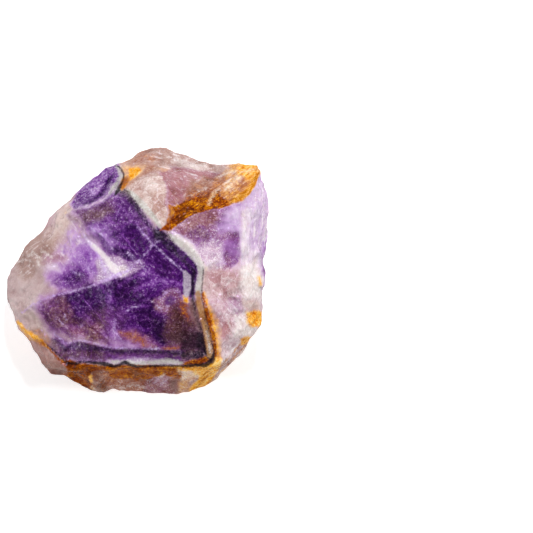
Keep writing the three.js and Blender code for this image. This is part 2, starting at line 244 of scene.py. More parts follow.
def fit_to_solid(piece):
    """Brings the carved surface back out to the solid's own length, width and height."""
    places = vertex_places(piece)
    low, high = places.min(axis=0), places.max(axis=0)
    solid_low, solid_high = np.array(stone_low), np.array(stone_high)
    move_vertices(piece, solid_low + (places - low) * (solid_high - solid_low) / (high - low))


def make_stone():
    """The stone with its finely broken surface, grown out of the CAD solid's shape."""
    stone = bpy.data.objects.new("amethyst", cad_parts["stone"].data.copy())
    bpy.context.scene.collection.objects.link(stone)
    only_active(stone)
    bpy.ops.object.mode_set(mode="EDIT")
    bpy.ops.mesh.select_mode(type="VERT")
    bpy.ops.mesh.select_all(action="SELECT")
    bpy.ops.mesh.remove_doubles(threshold=MERGE_DISTANCE)
    bpy.ops.mesh.subdivide(number_cuts=SUBDIVISIONS)
    bpy.ops.object.mode_set(mode="OBJECT")
    swell_rim(stone)
    smooth_broken_surface(stone, SMOOTH_PASSES)
    weigh_breaks(stone)
    break_surface(stone)
    smooth_broken_surface(stone, WEAR_PASSES)
    pull_hackles(stone)
    fit_to_solid(stone)
    bpy.ops.object.shade_smooth_by_angle(angle=SHARP_ANGLE)
    stone.data.materials.clear()
    return stone


# Where the colours lie

STRAYS = ((6.0 * MM, 1.5 * MM), (2.2 * MM, 0.7 * MM), (0.9 * MM, 0.3 * MM))  # an edge's wander: size, reach
STRAY_SOFT_PX = 7.0  # edges this soft wander in full, and harder ones less
STRAY_SEED = 3  # without a seed of its own the noise would start from the clock
RIM_HEIGHT = 5 * MM  # below this the layers slant
LEAN = Vector((0.22, -0.16, 0))  # how far they slant for each metre down

TONES = ("violet", "rose", "smoke", "milk", "gold", "rust", "ink", "frost")
PLAIN_QUARTZ = dict(violet=0.12, rose=0.25, smoke=0.28, milk=0.1, frost=0.2)

# Patches of the stone, laid over each other in order: soft edge in pixels, tones, outline.
PATCHES = [
    # the right side, under all its patches
    (12, dict(violet=0.2, rose=0.25, milk=0.25),
     [(195, 150), (300, 140), (300, 410), (205, 410), (190, 260)]),
    # the left lobe, and the smoky flank above it
    (9, dict(violet=0.03, smoke=0.35, milk=0.05),
     [(0, 285), (8, 266), (22, 255), (38, 262), (46, 274), (44, 290), (34, 304), (20, 320), (0, 312)]),
    (8, dict(rose=0.3, smoke=0.55),
     [(10, 266), (24, 240), (40, 226), (58, 234), (64, 250), (58, 264), (42, 262), (32, 276), (20, 276)]),
    (4, dict(rose=0.45, smoke=0.6), [(25, 261), (34, 259), (34, 268), (30, 276), (24, 272)]),
    (4, dict(rose=0.4, smoke=0.5), [(44, 240), (60, 240), (63, 256), (52, 258), (43, 250)]),
    # the pale head of the left side
    (8, dict(rose=0.12, milk=0.15),
     [(44, 228), (54, 208), (66, 200), (78, 208), (88, 228), (84, 238), (66, 242), (52, 240)]),
    (3, dict(milk=0.3, gold=0.4), [(64, 211), (68, 210), (70, 214), (66, 216)]),
    (5, dict(violet=0.25, rose=0.15, smoke=0.75),
     [(68, 214), (76, 215), (88, 226), (90, 234), (82, 231), (72, 222)]),
    # the clear lilac band, deeper towards the core
    (8, dict(violet=0.3, rose=0.03),
     [(58, 246), (68, 236), (80, 228), (88, 236), (98, 248), (108, 262), (100, 272), (79, 280), (58, 286),
      (48, 276)]),
    (11, dict(violet=0.54, frost=0.4),
     [(66, 268), (80, 252), (92, 250), (104, 264), (104, 276), (92, 284), (70, 284)]),
    (8, dict(violet=0.88, smoke=0.08, frost=0.3),
     [(52, 280), (62, 272), (78, 271), (92, 277), (92, 285), (76, 289), (60, 288)]),
    (5, dict(violet=0.2, rose=0.15, milk=0.08), [(53, 250), (61, 246), (66, 255), (62, 264), (54, 261)]),
    (4, dict(violet=0.2, rose=0.36, smoke=0.25),
     [(44, 254), (56, 252), (66, 256), (64, 264), (50, 265), (42, 262)]),
    (4, dict(violet=0.2, rose=0.1, milk=0.4), [(42, 269), (50, 265), (61, 267), (56, 272), (46, 272)]),
    (4, dict(violet=0.5), [(88, 250), (95, 254), (101, 262), (103, 270), (98, 276), (90, 264)]),
    (4, dict(violet=0.42, rose=0.12, smoke=0.05),
     [(43, 276), (48, 273), (56, 274), (52, 280), (44, 282)]),
    (5, dict(violet=0.7, smoke=0.2), [(48, 280), (56, 277), (62, 280), (58, 285), (50, 285)]),
    (6, dict(violet=0.47, rose=0.08), [(58, 264), (66, 259), (73, 265), (69, 272), (60, 271)]),
    # the violet nook at the upper left, and the pale sill under it
    (2, dict(violet=0.7, milk=0.02, frost=1.0),
     [(71, 205), (80, 186), (84, 178), (105, 162), (116, 160), (122, 172), (121, 182), (112, 193),
      (98, 200), (77, 209)]),
    (4, dict(violet=0.5, milk=0.06, frost=1.0),
     [(91, 193), (97, 185), (104, 182), (106, 187), (101, 193), (95, 196)]),
    (4, dict(violet=0.72, frost=0.8),
     [(84, 186), (96, 172), (106, 168), (108, 172), (98, 182), (88, 190)]),
    (2.5, dict(violet=0.95, frost=0.3),
     [(80, 206), (88, 200), (98, 194), (105, 185), (108, 176), (114, 175), (112, 185), (105, 195),
      (96, 200), (86, 205)]),
    (4, dict(violet=0.36, milk=0.36, smoke=0.1, frost=1.0),
     [(76, 211), (88, 203.5), (98, 201), (107, 195), (113, 186), (119, 190), (117, 203), (108, 208),
      (92, 209.5)]),
    # the upper core
    (3.5, dict(violet=0.78, smoke=0.08, frost=0.35),
     [(78, 211), (98, 203), (112, 194), (126, 194), (140, 208), (153, 229), (158, 240), (142, 257),
      (126, 270), (112, 259), (98, 240), (86, 224)]),
    (6, dict(violet=0.88, rose=0.15, smoke=0.5, frost=0.8),
     [(78, 212), (94, 206), (112, 202), (112, 211), (98, 220), (86, 224)]),
    (7, dict(violet=0.62, milk=0.08),
     [(86, 226), (97, 222), (112, 236), (118, 252), (108, 254), (96, 240)]),
    (7, dict(violet=0.97),
     [(118, 234), (134, 220), (150, 228), (156, 240), (142, 255), (128, 262), (116, 250)]),
    (4, dict(violet=0.7, smoke=0.25, frost=0.4),
     [(137, 216), (142, 217), (149, 228), (151, 240), (146, 238), (139, 227)]),
    (3, dict(violet=0.9, ink=0.6), [(154, 230), (158, 227), (167, 236), (164, 243), (157, 245)]),
    # the lower core
    (3, dict(violet=0.9),
     [(126, 270), (154, 243), (163, 236), (176, 243), (191, 255), (199, 266), (198, 280), (196, 298),
      (199, 315), (207, 358), (175, 358), (123, 356), (79, 352), (57, 343), (50, 330), (44, 308),
      (56, 295), (91, 287), (112, 276)]),
    (9, dict(violet=1.0, ink=0.06),
     [(92, 288), (116, 274), (150, 250), (174, 262), (184, 284), (150, 306), (112, 312)]),
    (9, dict(violet=0.84, frost=0.35),
     [(138, 274), (150, 268), (164, 276), (182, 280), (184, 294), (160, 294), (142, 290)]),
    (6, dict(violet=1.0, ink=0.25),
     [(120, 286), (132, 282), (140, 290), (144, 302), (134, 307), (120, 300)]),
    (8, dict(violet=0.84, rose=0.2, smoke=0.12, frost=0.2),
     [(35, 309), (42, 298), (60, 292), (72, 298), (68, 314), (63, 326), (57, 333), (49, 322)]),
    (7, dict(violet=0.28, rose=0.3, smoke=0.3, milk=0.08),
     [(24, 311), (30, 303), (37, 312), (50, 328), (50, 334), (40, 340), (28, 330)]),
    (7, dict(violet=1.0, ink=0.22),
     [(66, 298), (76, 290), (94, 287), (106, 290), (103, 304), (96, 318), (80, 318), (68, 310)]),
    (9, dict(violet=0.92, rose=0.14, smoke=0.12),
     [(84, 316), (104, 306), (120, 316), (124, 334), (104, 340), (88, 334)]),
    (4, dict(violet=0.95, rose=0.2, ink=0.14), [(62, 305), (70, 304), (74, 316), (69, 327), (62, 324)]),
    (8, dict(violet=0.84, rose=0.28, smoke=0.2, ink=0.05),
     [(52, 330), (66, 322), (84, 325), (105, 331), (112, 340), (108, 344), (79, 340), (62, 338)]),
    (4, dict(violet=0.9, rose=0.3, ink=0.16), [(88, 321), (99, 323), (106, 338), (97, 341)]),
    (4, dict(violet=0.76, rose=0.5, rust=0.15), [(72, 330), (80, 330), (84, 335), (76, 336)]),
    (3.5, dict(violet=0.42, rose=0.34, smoke=0.3, milk=0.08, frost=0.4),
     [(48, 332), (53, 331), (60, 333), (68, 336), (80, 335), (96, 338), (112, 343), (124, 345),
      (128, 349), (100, 345), (80, 341), (67, 345), (56, 338)]),
    (6, dict(violet=0.76, rose=0.08),
     [(106, 318), (116, 312), (122, 330), (134, 340), (132, 348), (112, 346)]),
    (4, dict(violet=0.48, rose=0.15, milk=0.05),
     [(112, 336), (120, 338), (130, 341), (144, 346), (144, 350), (112, 347)]),
    (5, dict(violet=0.12, rose=0.3, smoke=0.25, milk=0.1),
     [(26, 318), (38, 318), (44, 326), (44, 334), (34, 336)]),
    (5, dict(violet=0.03, rose=0.1, smoke=0.2, milk=0.14),
     [(12, 298), (27, 296), (33, 304), (28, 314), (15, 312)]),
    (7, dict(violet=1.0),
     [(130, 312), (142, 306), (158, 316), (164, 326), (150, 336), (134, 328), (129, 322)]),
    (4, dict(violet=1.0, ink=0.5),
     [(150, 315), (160, 318), (168, 318), (171, 330), (164, 340), (152, 334)]),
    (5, dict(violet=0.76, rose=0.35), [(142, 338), (152, 336), (158, 342), (156, 350), (140, 350)]),
    # the bright wedge where the lilac band runs out between two cracks
    (2.2, dict(violet=0.46, milk=0.12, smoke=0.22, rose=0.1, frost=1.0),
     [(97, 262), (102, 256), (108, 260), (112, 255), (122, 257), (131, 264), (142, 260), (145, 265),
      (139, 270), (132, 274.5), (126, 278), (121, 278), (118, 276), (114, 276.5), (110, 279.5),
      (101, 282), (95, 284), (99, 272)]),
    (2.5, dict(violet=0.42, milk=0.22, frost=0.8),
     [(101, 260), (106, 262), (112, 268), (115, 275), (109, 280), (102, 281), (104, 271)]),
    (2.5, dict(violet=0.6, smoke=0.3, frost=1.0),
     [(126, 262), (134, 262), (143, 259), (145, 265), (138, 270), (131, 270)]),
    (2, dict(violet=0.12, milk=0.45, smoke=0.3, frost=1.0),
     [(118, 266), (124, 266), (129, 270), (128, 275), (122, 277), (118, 274)]),
    (1.3, dict(violet=0.3, milk=0.84, frost=0.3),
     [(86, 239), (93, 242.5), (99, 247.5), (105, 252.5), (109.5, 257.5), (113, 262), (118, 266.5),
      (120.5, 271), (117, 273.5), (112, 271), (108, 264.5), (104, 259), (98, 253.5), (92, 248)]),
    (3, dict(violet=1.0, ink=0.3), [(114, 280), (127, 276.5), (134, 279), (128, 287), (114, 286)]),
    (5, dict(violet=0.74, frost=0.5), [(141, 264), (151, 259), (158, 267), (153, 277), (142, 276)]),
    # the pale swirl, and the brown quarter behind the chevron's corner
    (3.5, dict(violet=0.74, rose=0.42, smoke=0.15, frost=0.9),
     [(155, 301), (164, 295), (171, 288), (180, 289), (185, 298), (178, 310), (167, 316), (158, 309)]),
    (2.5, dict(violet=0.8, smoke=0.2), [(166, 299), (173, 294), (178, 299), (174, 306), (167, 305)]),
    (7, dict(violet=0.75, rose=0.6, rust=0.15, ink=0.78, frost=0.3),
     [(174, 308), (190, 300), (196, 312), (203, 330), (208, 358), (182, 352), (174, 342), (171, 326)]),
    (6, dict(violet=0.7, rose=0.5, ink=0.9),
     [(182, 332), (198, 328), (206, 345), (206, 357), (178, 358), (176, 345)]),
    (4, dict(violet=0.3, rose=0.5, rust=0.54, ink=0.4),
     [(181, 301), (189, 301), (194, 315), (187, 321), (181, 313)]),
    (2, dict(rose=0.2, rust=0.3, gold=0.8), [(184.5, 295), (190, 296), (190, 303), (185, 302)]),
    (5, dict(violet=0.5, rose=0.75, rust=0.44),
     [(120, 331), (130, 330), (143, 335), (148, 344), (141, 348), (137, 343), (128, 337)]),
    (1.5, dict(violet=0.2, rose=0.9, ink=0.7),
     [(195, 300), (200, 300), (207, 318), (213, 343), (216, 356), (214, 362), (207, 366), (200, 364),
      (205, 352), (203, 335)]),
    (2, dict(violet=0.35, rose=0.75, smoke=0.4, ink=0.35),
     [(191, 297), (196, 300), (200, 318), (203, 333), (196, 330), (190, 312)]),
    (3, dict(violet=0.6, rose=0.5, rust=0.6),
     [(160, 346), (168, 344), (180, 345), (178, 351), (160, 350)]),
    (5, dict(violet=0.8, rose=0.5, smoke=0.2, ink=0.7),
     [(166, 330), (176, 332), (182, 338), (178, 344), (168, 342)]),
    # the plum layer under the core
    (1.6, dict(violet=0.8, smoke=0.3, rose=0.25, ink=0.2),
     [(46, 338), (56, 343), (66, 348), (72, 344), (80, 342), (92, 344.5), (104, 347), (125, 348),
      (150, 350), (180, 350), (206, 348), (208, 364), (150, 363), (96, 362), (68, 363), (57, 355),
      (48, 345)]),
    (1.8, dict(violet=0.92, smoke=0.2, ink=0.45),
     [(45, 336), (55, 339), (66, 347.5), (71, 342.5), (78, 341), (86, 342), (94, 344.5), (120, 348.5),
      (184, 349.5), (184, 355), (150, 354), (120, 353), (90, 351), (72, 352), (60, 354), (50, 345)]),
    (3, dict(violet=0.6, rose=0.5, smoke=0.4, ink=0.5),
     [(46, 338), (56, 344), (62, 352), (58, 356), (48, 346)]),
    (4, dict(violet=0.72, smoke=0.1),
     [(100, 352), (150, 355), (180, 355), (180, 360), (150, 360), (100, 358)]),
    (2.5, dict(violet=0.84, smoke=0.25, rose=0.2, ink=0.3, frost=0.2),
     [(66, 350), (84, 350), (106, 352), (112, 358), (84, 357), (68, 357)]),
    (1.5, dict(violet=0.62, smoke=0.5, ink=0.2, frost=0.5),
     [(68, 358), (84, 357), (102, 360), (104, 363), (84, 361), (70, 362)]),
    (2, dict(violet=0.45, smoke=0.35, milk=0.15, frost=0.8),
     [(106, 359), (120, 358), (150, 358), (178, 360), (176, 364), (120, 363), (106, 363)]),
    (2, dict(violet=0.5, rose=0.4, rust=0.8, gold=0.15),
     [(180, 363.5), (196, 358), (207, 355), (209, 360), (200, 366), (184, 366)]),
    # the peach corner at the top, its rust, and the frosted facet beside the band
    (4, dict(rose=0.75, smoke=0.2, gold=0.14, frost=0.4),
     [(117, 160), (130, 148), (150, 140), (160, 152), (166, 168), (152, 172), (138, 184), (128, 188),
      (122, 175)]),
    (3, dict(rose=0.5, milk=0.3, gold=0.36),
     [(120, 166), (132, 165), (145, 164), (143, 171), (133, 178), (124, 180)]),
    (1.8, dict(rose=0.3, gold=1.0), [(129, 170), (138, 167.5), (141, 170), (134, 177), (129, 181)]),
    (2, dict(rose=0.5, gold=0.5, rust=0.55),
     [(121, 178), (127, 175), (131, 177), (128, 185), (123, 191), (120, 188)]),
    (1.3, dict(rose=0.34, smoke=0.06, milk=0.06, frost=0.7),
     [(126, 189), (142, 176), (158, 172), (166, 181), (169, 192), (167.5, 214), (165, 229), (154, 221),
      (140, 204)]),
    (5, dict(rose=0.24, milk=0.18, frost=0.8),
     [(136, 185), (146, 177), (157, 176), (163, 185), (159, 194), (143, 195)]),
    (5, dict(rose=0.62, smoke=0.3, frost=0.5),
     [(149, 198), (160, 192), (167, 204), (164, 222), (157, 214)]),
    # the cream crest, and the rosy scoop under it
    (6, dict(rose=0.4, smoke=0.3, milk=0.05, gold=0.05, frost=0.5),
     [(138, 140), (160, 138), (180, 144), (200, 154), (222, 162), (236, 160), (222, 174), (200, 172),
      (180, 166), (160, 168)]),
    (4, dict(rose=0.55, smoke=0.4, gold=0.08, frost=0.3),
     [(140, 150), (152, 144), (170, 146), (178, 155), (173, 162), (158, 163), (146, 159)]),
    (3, dict(rose=0.7, rust=0.36), [(141, 152), (152, 152), (159, 157), (152, 160), (143, 157)]),
    (4, dict(rose=0.25, smoke=0.12, milk=0.3, frost=0.4),
     [(172, 162), (184, 158), (196, 162), (206, 166), (198, 170), (184, 168)]),
    (1.5, dict(violet=0.26, rose=0.7, smoke=0.2, gold=0.04, frost=0.1),
     [(160, 172), (178, 168), (202, 171), (226, 175), (214, 187), (193, 205), (180, 212), (169, 218),
      (168.5, 190)]),
    (4, dict(violet=0.62, rose=0.8, smoke=0.35),
     [(168, 186), (174, 188), (181, 194), (183, 200), (178, 206), (170, 210)]),
    (3, dict(rose=0.5, milk=0.1, gold=0.3), [(157, 168), (166, 167), (172, 170), (162, 172)]),
    (5, dict(rose=0.85, smoke=0.15, rust=0.28),
     [(184, 192), (200, 184), (226, 175), (224, 186), (204, 200), (188, 206)]),
    (5, dict(rose=0.9, smoke=0.5, rust=0.22),
     [(190, 182), (204, 178), (217, 179), (214, 190), (200, 195), (188, 192)]),
    (4, dict(rose=0.72, rust=0.2, gold=0.3),
     [(214, 180), (228, 173), (244, 174), (256, 178), (250, 186), (244, 192), (232, 200), (220, 200),
      (212, 190)]),
    (3, dict(rose=0.8, smoke=0.1, rust=0.4, gold=0.2),
     [(214, 184), (226, 177), (229, 180), (223, 188), (215, 190)]),
    (3, dict(rose=0.75, rust=0.36, gold=0.4),
     [(216, 200), (224, 193), (236, 187), (247, 182), (244, 190), (230, 202), (218, 204)]),
    (2.5, dict(rose=0.35, milk=0.4, gold=0.35, frost=1.0),
     [(207, 203), (209, 196), (215, 190), (221, 188), (217, 196), (212, 204)]),
    (2.5, dict(rose=0.3, milk=0.4, gold=0.4, frost=1.0),
     [(225, 189), (230, 182), (236, 176), (242, 175), (239, 181), (232, 188)]),
    # the golden peak at the right
    (4, dict(rose=0.5, milk=0.05, gold=0.42, frost=0.4),
     [(222, 174), (230, 162), (246, 157), (266, 158), (268, 176), (254, 176), (240, 174), (228, 176)]),
    (3.5, dict(rose=0.35, gold=0.75),
     [(234, 170), (242, 165), (252, 163), (262, 163), (265, 172), (256, 179), (247, 178), (244, 174),
      (238, 174)]),
    (3, dict(rose=0.5, rust=0.25, gold=0.7),
     [(243, 170), (252, 167), (260, 170), (257, 178), (249, 178)]),
    # the rust along the scoop's lower edge
    (4, dict(rose=0.9, smoke=0.2, rust=0.5, ink=0.2),
     [(176, 210), (183, 201), (190, 193), (202, 191), (214, 190), (220, 194), (205, 204), (188, 211),
      (175, 215)]),
    (2, dict(rust=1.0),
     [(160.5, 230.5), (166, 225), (169, 217), (169.3, 204.5), (173, 206), (178, 208.5), (184, 204),
      (193, 199), (204, 198), (213, 194), (220, 191), (220, 197), (229, 202), (240, 195), (244, 196),
      (238, 204), (228, 208), (214, 212), (203, 214.5), (190, 217), (183, 220), (176.5, 224),
      (172.5, 229.5), (168, 231)]),
    (2, dict(rose=0.2, rust=0.42, gold=0.8),
     [(228, 203), (236, 196), (246, 187), (253, 178), (261, 170), (264, 174), (258, 183), (249, 194),
      (240, 202), (230, 206.5)]),
    (3, dict(rust=0.5, gold=0.7),
     [(170, 206), (173, 207), (177, 213), (172, 217), (170, 223), (168, 222)]),
    (3, dict(rust=1.0, ink=0.9),
     [(175, 227), (176, 215), (179, 204), (186, 202), (191, 206), (195, 210), (206, 210.5), (214, 208),
      (218, 209), (205, 215), (190, 219)]),
    # the lilac face on the right
    (1.6, dict(violet=0.62, rose=0.26, smoke=0.2, frost=0.9),
     [(170, 233), (177, 227), (190, 217), (204, 213.5), (216, 210.5), (230, 206.5), (241, 204),
      (242, 220), (241, 250), (238, 262), (228, 270), (210, 270), (204, 261), (193, 245)]),
    (3, dict(violet=0.66, rose=0.6, smoke=0.4, frost=0.4),
     [(174, 229), (182, 223), (192, 216), (205, 212), (218, 210), (219, 219), (210, 227), (196, 230),
      (184, 234)]),
    (5, dict(violet=0.8, rose=0.2, smoke=0.25, frost=0.5),
     [(190, 231), (200, 229), (207, 234), (206, 242), (196, 243), (190, 238)]),
    (5, dict(violet=0.34, milk=0.3),
     [(226, 214), (234, 208), (242, 204), (241, 226), (233, 228), (226, 222)]),
    (5, dict(violet=0.38, milk=0.2),
     [(217, 223), (230, 221), (240, 223), (239, 231), (226, 232), (217, 229)]),
    (5, dict(violet=0.46, rose=0.12, frost=0.1),
     [(226, 241), (238, 237), (242, 252), (235, 257), (225, 252)]),
    (6, dict(violet=0.26, rose=0.2, milk=0.34, frost=1.0),
     [(190, 247), (200, 245), (212, 241), (221, 248), (222, 262), (212, 276), (204, 266)]),
    (2.5, dict(violet=0.14, milk=0.5, smoke=0.1),
     [(173, 231), (181, 234), (190, 241), (197, 248), (188, 247), (179, 240)]),
    # the frosted strip down the right edge
    (1.3, dict(violet=0.3, milk=0.26, frost=0.3),
     [(241, 206), (248, 196), (256, 186), (262, 170), (285, 200), (285, 252), (262, 262), (260, 288),
      (246, 284), (241, 262), (242, 242), (238.5, 230), (238.5, 214)]),
    (3.5, dict(violet=0.24, milk=0.62),
     [(243, 214), (247, 207), (251, 213), (249, 226), (248, 240), (251, 254), (248, 265), (243, 262),
      (242, 238)]),
    (4, dict(violet=0.2, milk=0.5), [(248, 250), (258, 248), (261, 262), (254, 268), (246, 262)]),
    (2.5, dict(violet=0.58, rose=0.1),
     [(263, 242), (285, 232), (285, 288), (262, 291), (260, 280), (262, 266)]),
    # the warm stain along the chevron's outer side, then the mauve, rosy and cream chips
    (5, dict(rose=0.15, milk=0.35, gold=0.2),
     [(202, 264), (208, 266), (212, 284), (214, 300), (206, 298), (202, 284)]),
    (5, dict(violet=0.1, rose=0.46, smoke=0.1, gold=0.03, frost=0.5),
     [(206, 272), (222, 266), (240, 270), (244, 284), (240, 297), (219, 300), (206, 290)]),
    (6, dict(violet=0.16, rose=0.46, milk=0.06, gold=0.03, frost=0.5),
     [(208, 296), (230, 294), (250, 291), (258, 315), (246, 334), (230, 354), (219, 366), (217, 342),
      (210, 315)]),
    (5, dict(violet=0.28, rose=0.36, milk=0.1, frost=0.4),
     [(226, 298), (242, 296), (246, 308), (236, 318), (228, 308)]),
    (5, dict(rose=0.14, milk=0.7, frost=0.4),
     [(240, 268), (256, 260), (264, 280), (262, 300), (246, 298), (240, 284)]),
    (4, dict(rose=0.5, milk=0.35, frost=0.2),
     [(244, 300), (258, 301), (261, 306), (256, 310), (246, 308)]),
    (5, dict(rose=0.2, milk=0.6, gold=0.05, frost=0.4),
     [(236, 320), (250, 316), (256, 326), (248, 338), (240, 336)]),
    (5, dict(rose=0.62, violet=0.16, frost=0.3),
     [(220, 320), (228, 320), (233, 332), (232, 342), (226, 346), (220, 338)]),
    # painted light: milk lightens this part of the rim, which faces away from the key softbox
    (5, dict(violet=0.12, rose=0.3, milk=0.36, frost=0.6),
     [(222, 346), (232, 334), (245, 329), (244, 346), (232, 360), (220, 368)]),
    (4, dict(rose=0.12, milk=0.7, gold=0.13, frost=0.5),
     [(235, 329), (252, 325), (255, 333), (248, 337), (236, 337)]),
    (3.5, dict(gold=1.0), [(247, 312), (256, 310), (270, 312), (270, 322), (257, 327), (249, 322)]),
    (2.5, dict(milk=0.3, rose=0.2, gold=0.7), [(256, 276), (260, 275), (262, 286), (258, 287)]),
    # the rim all along the bottom
    (6, dict(rose=0.75, smoke=0.45, rust=0.15, frost=0.3),
     [(67, 368), (123, 370), (174, 370), (219, 366), (245, 345), (275, 325), (260, 370), (200, 405),
      (140, 405), (88, 405), (50, 385)]),
    # the golden stain below the plum layer, in two bodies
    (3, dict(rust=1.0, gold=0.1, ink=0.7),
     [(62, 361), (80, 362), (96, 365), (98, 372), (92, 381), (78, 378), (66, 370)]),
    (4, dict(rose=0.9, smoke=0.15, rust=0.2, frost=0.5),
     [(104, 379), (118, 380), (150, 379), (152, 400), (104, 400)]),
    (3, dict(rust=1.0, gold=0.3),
     [(106, 366), (132, 365), (150, 366), (170, 367), (181, 368), (180, 376), (166, 377), (150, 379),
      (132, 380), (114, 379), (107, 372)]),
    (3, dict(rust=1.0, ink=0.7), [(129, 369), (137, 368), (141, 374), (136, 379), (130, 377)]),
    (3, dict(rust=0.95, gold=0.5, milk=0.4),
     [(111, 369), (122, 368), (128, 372), (125, 378), (113, 377)]),
    (3, dict(violet=0.5, rose=0.75, smoke=0.35, frost=0.7),
     [(144, 382), (154, 377), (166, 377), (175, 382), (174, 392), (168, 404), (142, 400)]),
    (3, dict(violet=0.3, rose=0.85, smoke=0.6, ink=0.15),
     [(170, 381), (177, 379), (179, 388), (172, 392)]),
    (4, dict(rose=0.85, smoke=0.2, rust=0.5, frost=0.5),
     [(102, 367), (107, 370), (113, 379), (112, 385), (106, 384), (103, 376)]),
    (3.5, dict(rose=0.95, smoke=0.45, rust=0.26, ink=0.16, frost=0.3),
     [(92, 364), (98, 363), (101, 368), (102, 376), (107, 384), (104, 390), (96, 388), (93, 378)]),
    (2.5, dict(rose=0.85, smoke=0.4, rust=0.4, ink=0.62, frost=0.5),
     [(98, 379), (102, 378), (107, 388), (104, 396), (98, 392)]),
    (2, dict(rose=0.4, milk=0.3, gold=0.8), [(88.5, 376), (92, 373), (93, 381), (91, 386), (88.5, 384)]),
    (2.5, dict(rose=0.56, milk=0.2, gold=0.36, frost=0.9),
     [(182, 369), (202, 368), (200, 374), (192, 380), (184, 382), (181, 377)]),
    # painted light: milk lightens the gold on this face, which turns away from the key softbox
    (2.5, dict(rose=0.1, milk=0.8, gold=0.72),
     [(193, 370), (212, 369), (210, 375), (201, 377), (193, 374)]),
    (2, dict(rose=0.15, rust=0.25, gold=1.0, milk=0.1),
     [(165, 366.5), (182, 366), (196, 365.5), (208, 363), (211, 367), (200, 371), (184, 371),
      (167, 370.5)]),
    (3, dict(rose=0.85, gold=0.3, frost=0.5),
     [(179, 381), (190, 379), (191, 388), (182, 400), (177, 396)]),
    # painted light: milk lightens this rim strip, which faces away from the key softbox
    (2.5, dict(rose=0.32, gold=0.3, milk=0.58, frost=0.4),
     [(257, 328), (251, 338), (245, 347), (236, 357), (225, 368), (214, 379), (205, 392), (191, 403),
      (225, 402), (252, 376), (277, 335)]),
    # painted light: milk lightens the gold here, where the rim faces down and away from the key softbox
    (2, dict(rose=0.1, gold=1.0, rust=0.12, milk=0.4),
     [(192, 366), (206, 365), (213, 361), (217, 356), (223, 359), (219, 370), (207, 386), (194, 398),
      (186, 396), (192, 385), (202, 375), (206, 369)]),
    (3, dict(rose=0.35, gold=0.4),
     [(207, 300), (216, 312), (221, 331), (223, 350), (222, 362), (216, 358), (213, 335), (209, 318),
      (205, 303)]),
    (2, dict(rose=0.3, milk=0.3, rust=0.3, gold=0.72),
     [(240.5, 339), (249, 335), (252, 338), (246, 345), (241, 345)]),
    (4, dict(violet=0.1, rose=0.75, smoke=0.3, milk=0.08),
     [(18, 334), (44, 343), (56, 357), (66, 370), (62, 384), (36, 372), (22, 352)]),
    (3, dict(rose=0.7, smoke=0.3, rust=0.5, gold=0.2),
     [(32, 338), (38, 336), (45, 340), (48, 347), (40, 346)]),
    (4, dict(violet=0.1, rose=0.85, smoke=0.55), [(40, 362), (58, 358), (66, 370), (62, 384), (40, 374)]),
    (4, dict(violet=0.02, smoke=0.2, gold=0.1, milk=0.1),
     [(18, 312), (34, 310), (42, 326), (40, 338), (26, 330)]),
    (3, dict(rose=0.6, smoke=0.4, rust=0.36, gold=0.1),
     [(31, 329), (38, 328), (44, 331), (51, 339), (51, 346), (46, 343), (40, 338)]),
    (4, dict(rose=0.6, rust=0.9, ink=0.5), [(60, 374), (78, 373), (94, 384), (92, 398), (70, 392)]),
]

# Narrow markings, as lines of (x, y, half width), all in pixels.
WHITE_BANDS = [
    [(115.5, 165, 0.8), (119, 169, 1.6), (121.3, 176, 2.2), (119, 181.5, 2), (114, 187, 1.6),
     (110, 194, 1)],
    [(128.5, 190, 0.8), (135, 195.8, 2.4), (142, 204, 3.3), (149, 211.4, 3.2), (155.8, 219.6, 2.5),
     (160.8, 227, 1.5)],
    [(171, 234.5, 0.9), (175.5, 238.8, 3), (182, 244, 3.8), (190, 250.8, 4), (197, 258.4, 4),
     (201, 267, 3), (200.6, 275, 2.5), (198.7, 286, 2.9), (198.6, 294, 2.7)],
    [(110, 361, 0.6), (114, 361.6, 1.9), (122, 361, 1), (130, 362, 1.9), (142, 362.6, 1.9),
     (158, 361.8, 2), (166, 361, 3), (175, 361.6, 2.2), (183, 362.6, 0.8)],
]
TAN_BANDS = [
    [(198.2, 293, 2.6), (199.8, 303, 2.8), (203.4, 318, 2.7), (206.7, 331, 2.8), (209, 344, 2.9),
     (210.4, 355, 3)],
]
GREY_BANDS = [
    [(185.4, 272, 2), (187.6, 277, 3.8), (187.6, 288, 3.8), (187, 295, 2.6)],
]
INK_LINES = [
    [(116, 165, 0.5), (120.5, 168, 0.8), (124, 174, 0.9), (123.8, 179, 0.8), (122, 183, 1),
     (120.4, 187, 1.5), (118, 191.5, 1.8), (116, 194.5, 0.9)],
    [(203.6, 262, 0.4), (203.6, 270, 0.6), (203.2, 278, 0.6), (202.4, 286, 0.6), (202, 294, 0.5),
     (203.1, 303, 0.6), (206.4, 317, 0.7), (209.9, 331, 0.8), (212.5, 344, 0.8), (214.4, 352, 0.8)],
    [(214, 353, 1.3), (212.5, 360, 2.6), (206, 364.6, 2.2), (195, 364.8, 1.4), (184, 365.6, 1.2),
     (165, 365.2, 1.1), (152, 365.8, 1.1), (137, 366.2, 1.1), (131, 364.6, 1.5), (125.4, 361.8, 1.9),
     (120, 364.6, 1.5), (114.5, 366, 1.6), (110, 364.8, 2), (105, 363.5, 2.3), (98, 362.6, 1.5),
     (88, 361.6, 1.3), (80.6, 361.8, 1.1), (77, 363.2, 1.3), (68, 363, 1.4), (62, 358, 0.8),
     (54, 350, 0.8), (48, 344.5, 0.7)],
    [(203.6, 318, 0.2), (207.4, 331, 0.4), (209.4, 344, 0.5), (209.8, 353, 0.5)],
    [(196.4, 265, 0.4), (194.6, 272, 0.7), (193.2, 281, 0.9), (193.1, 288, 0.8), (193.6, 300, 0.9),
     (197, 314, 0.3), (202, 331, 0.8), (204, 344, 0.9), (205.6, 353, 1.3)],
]
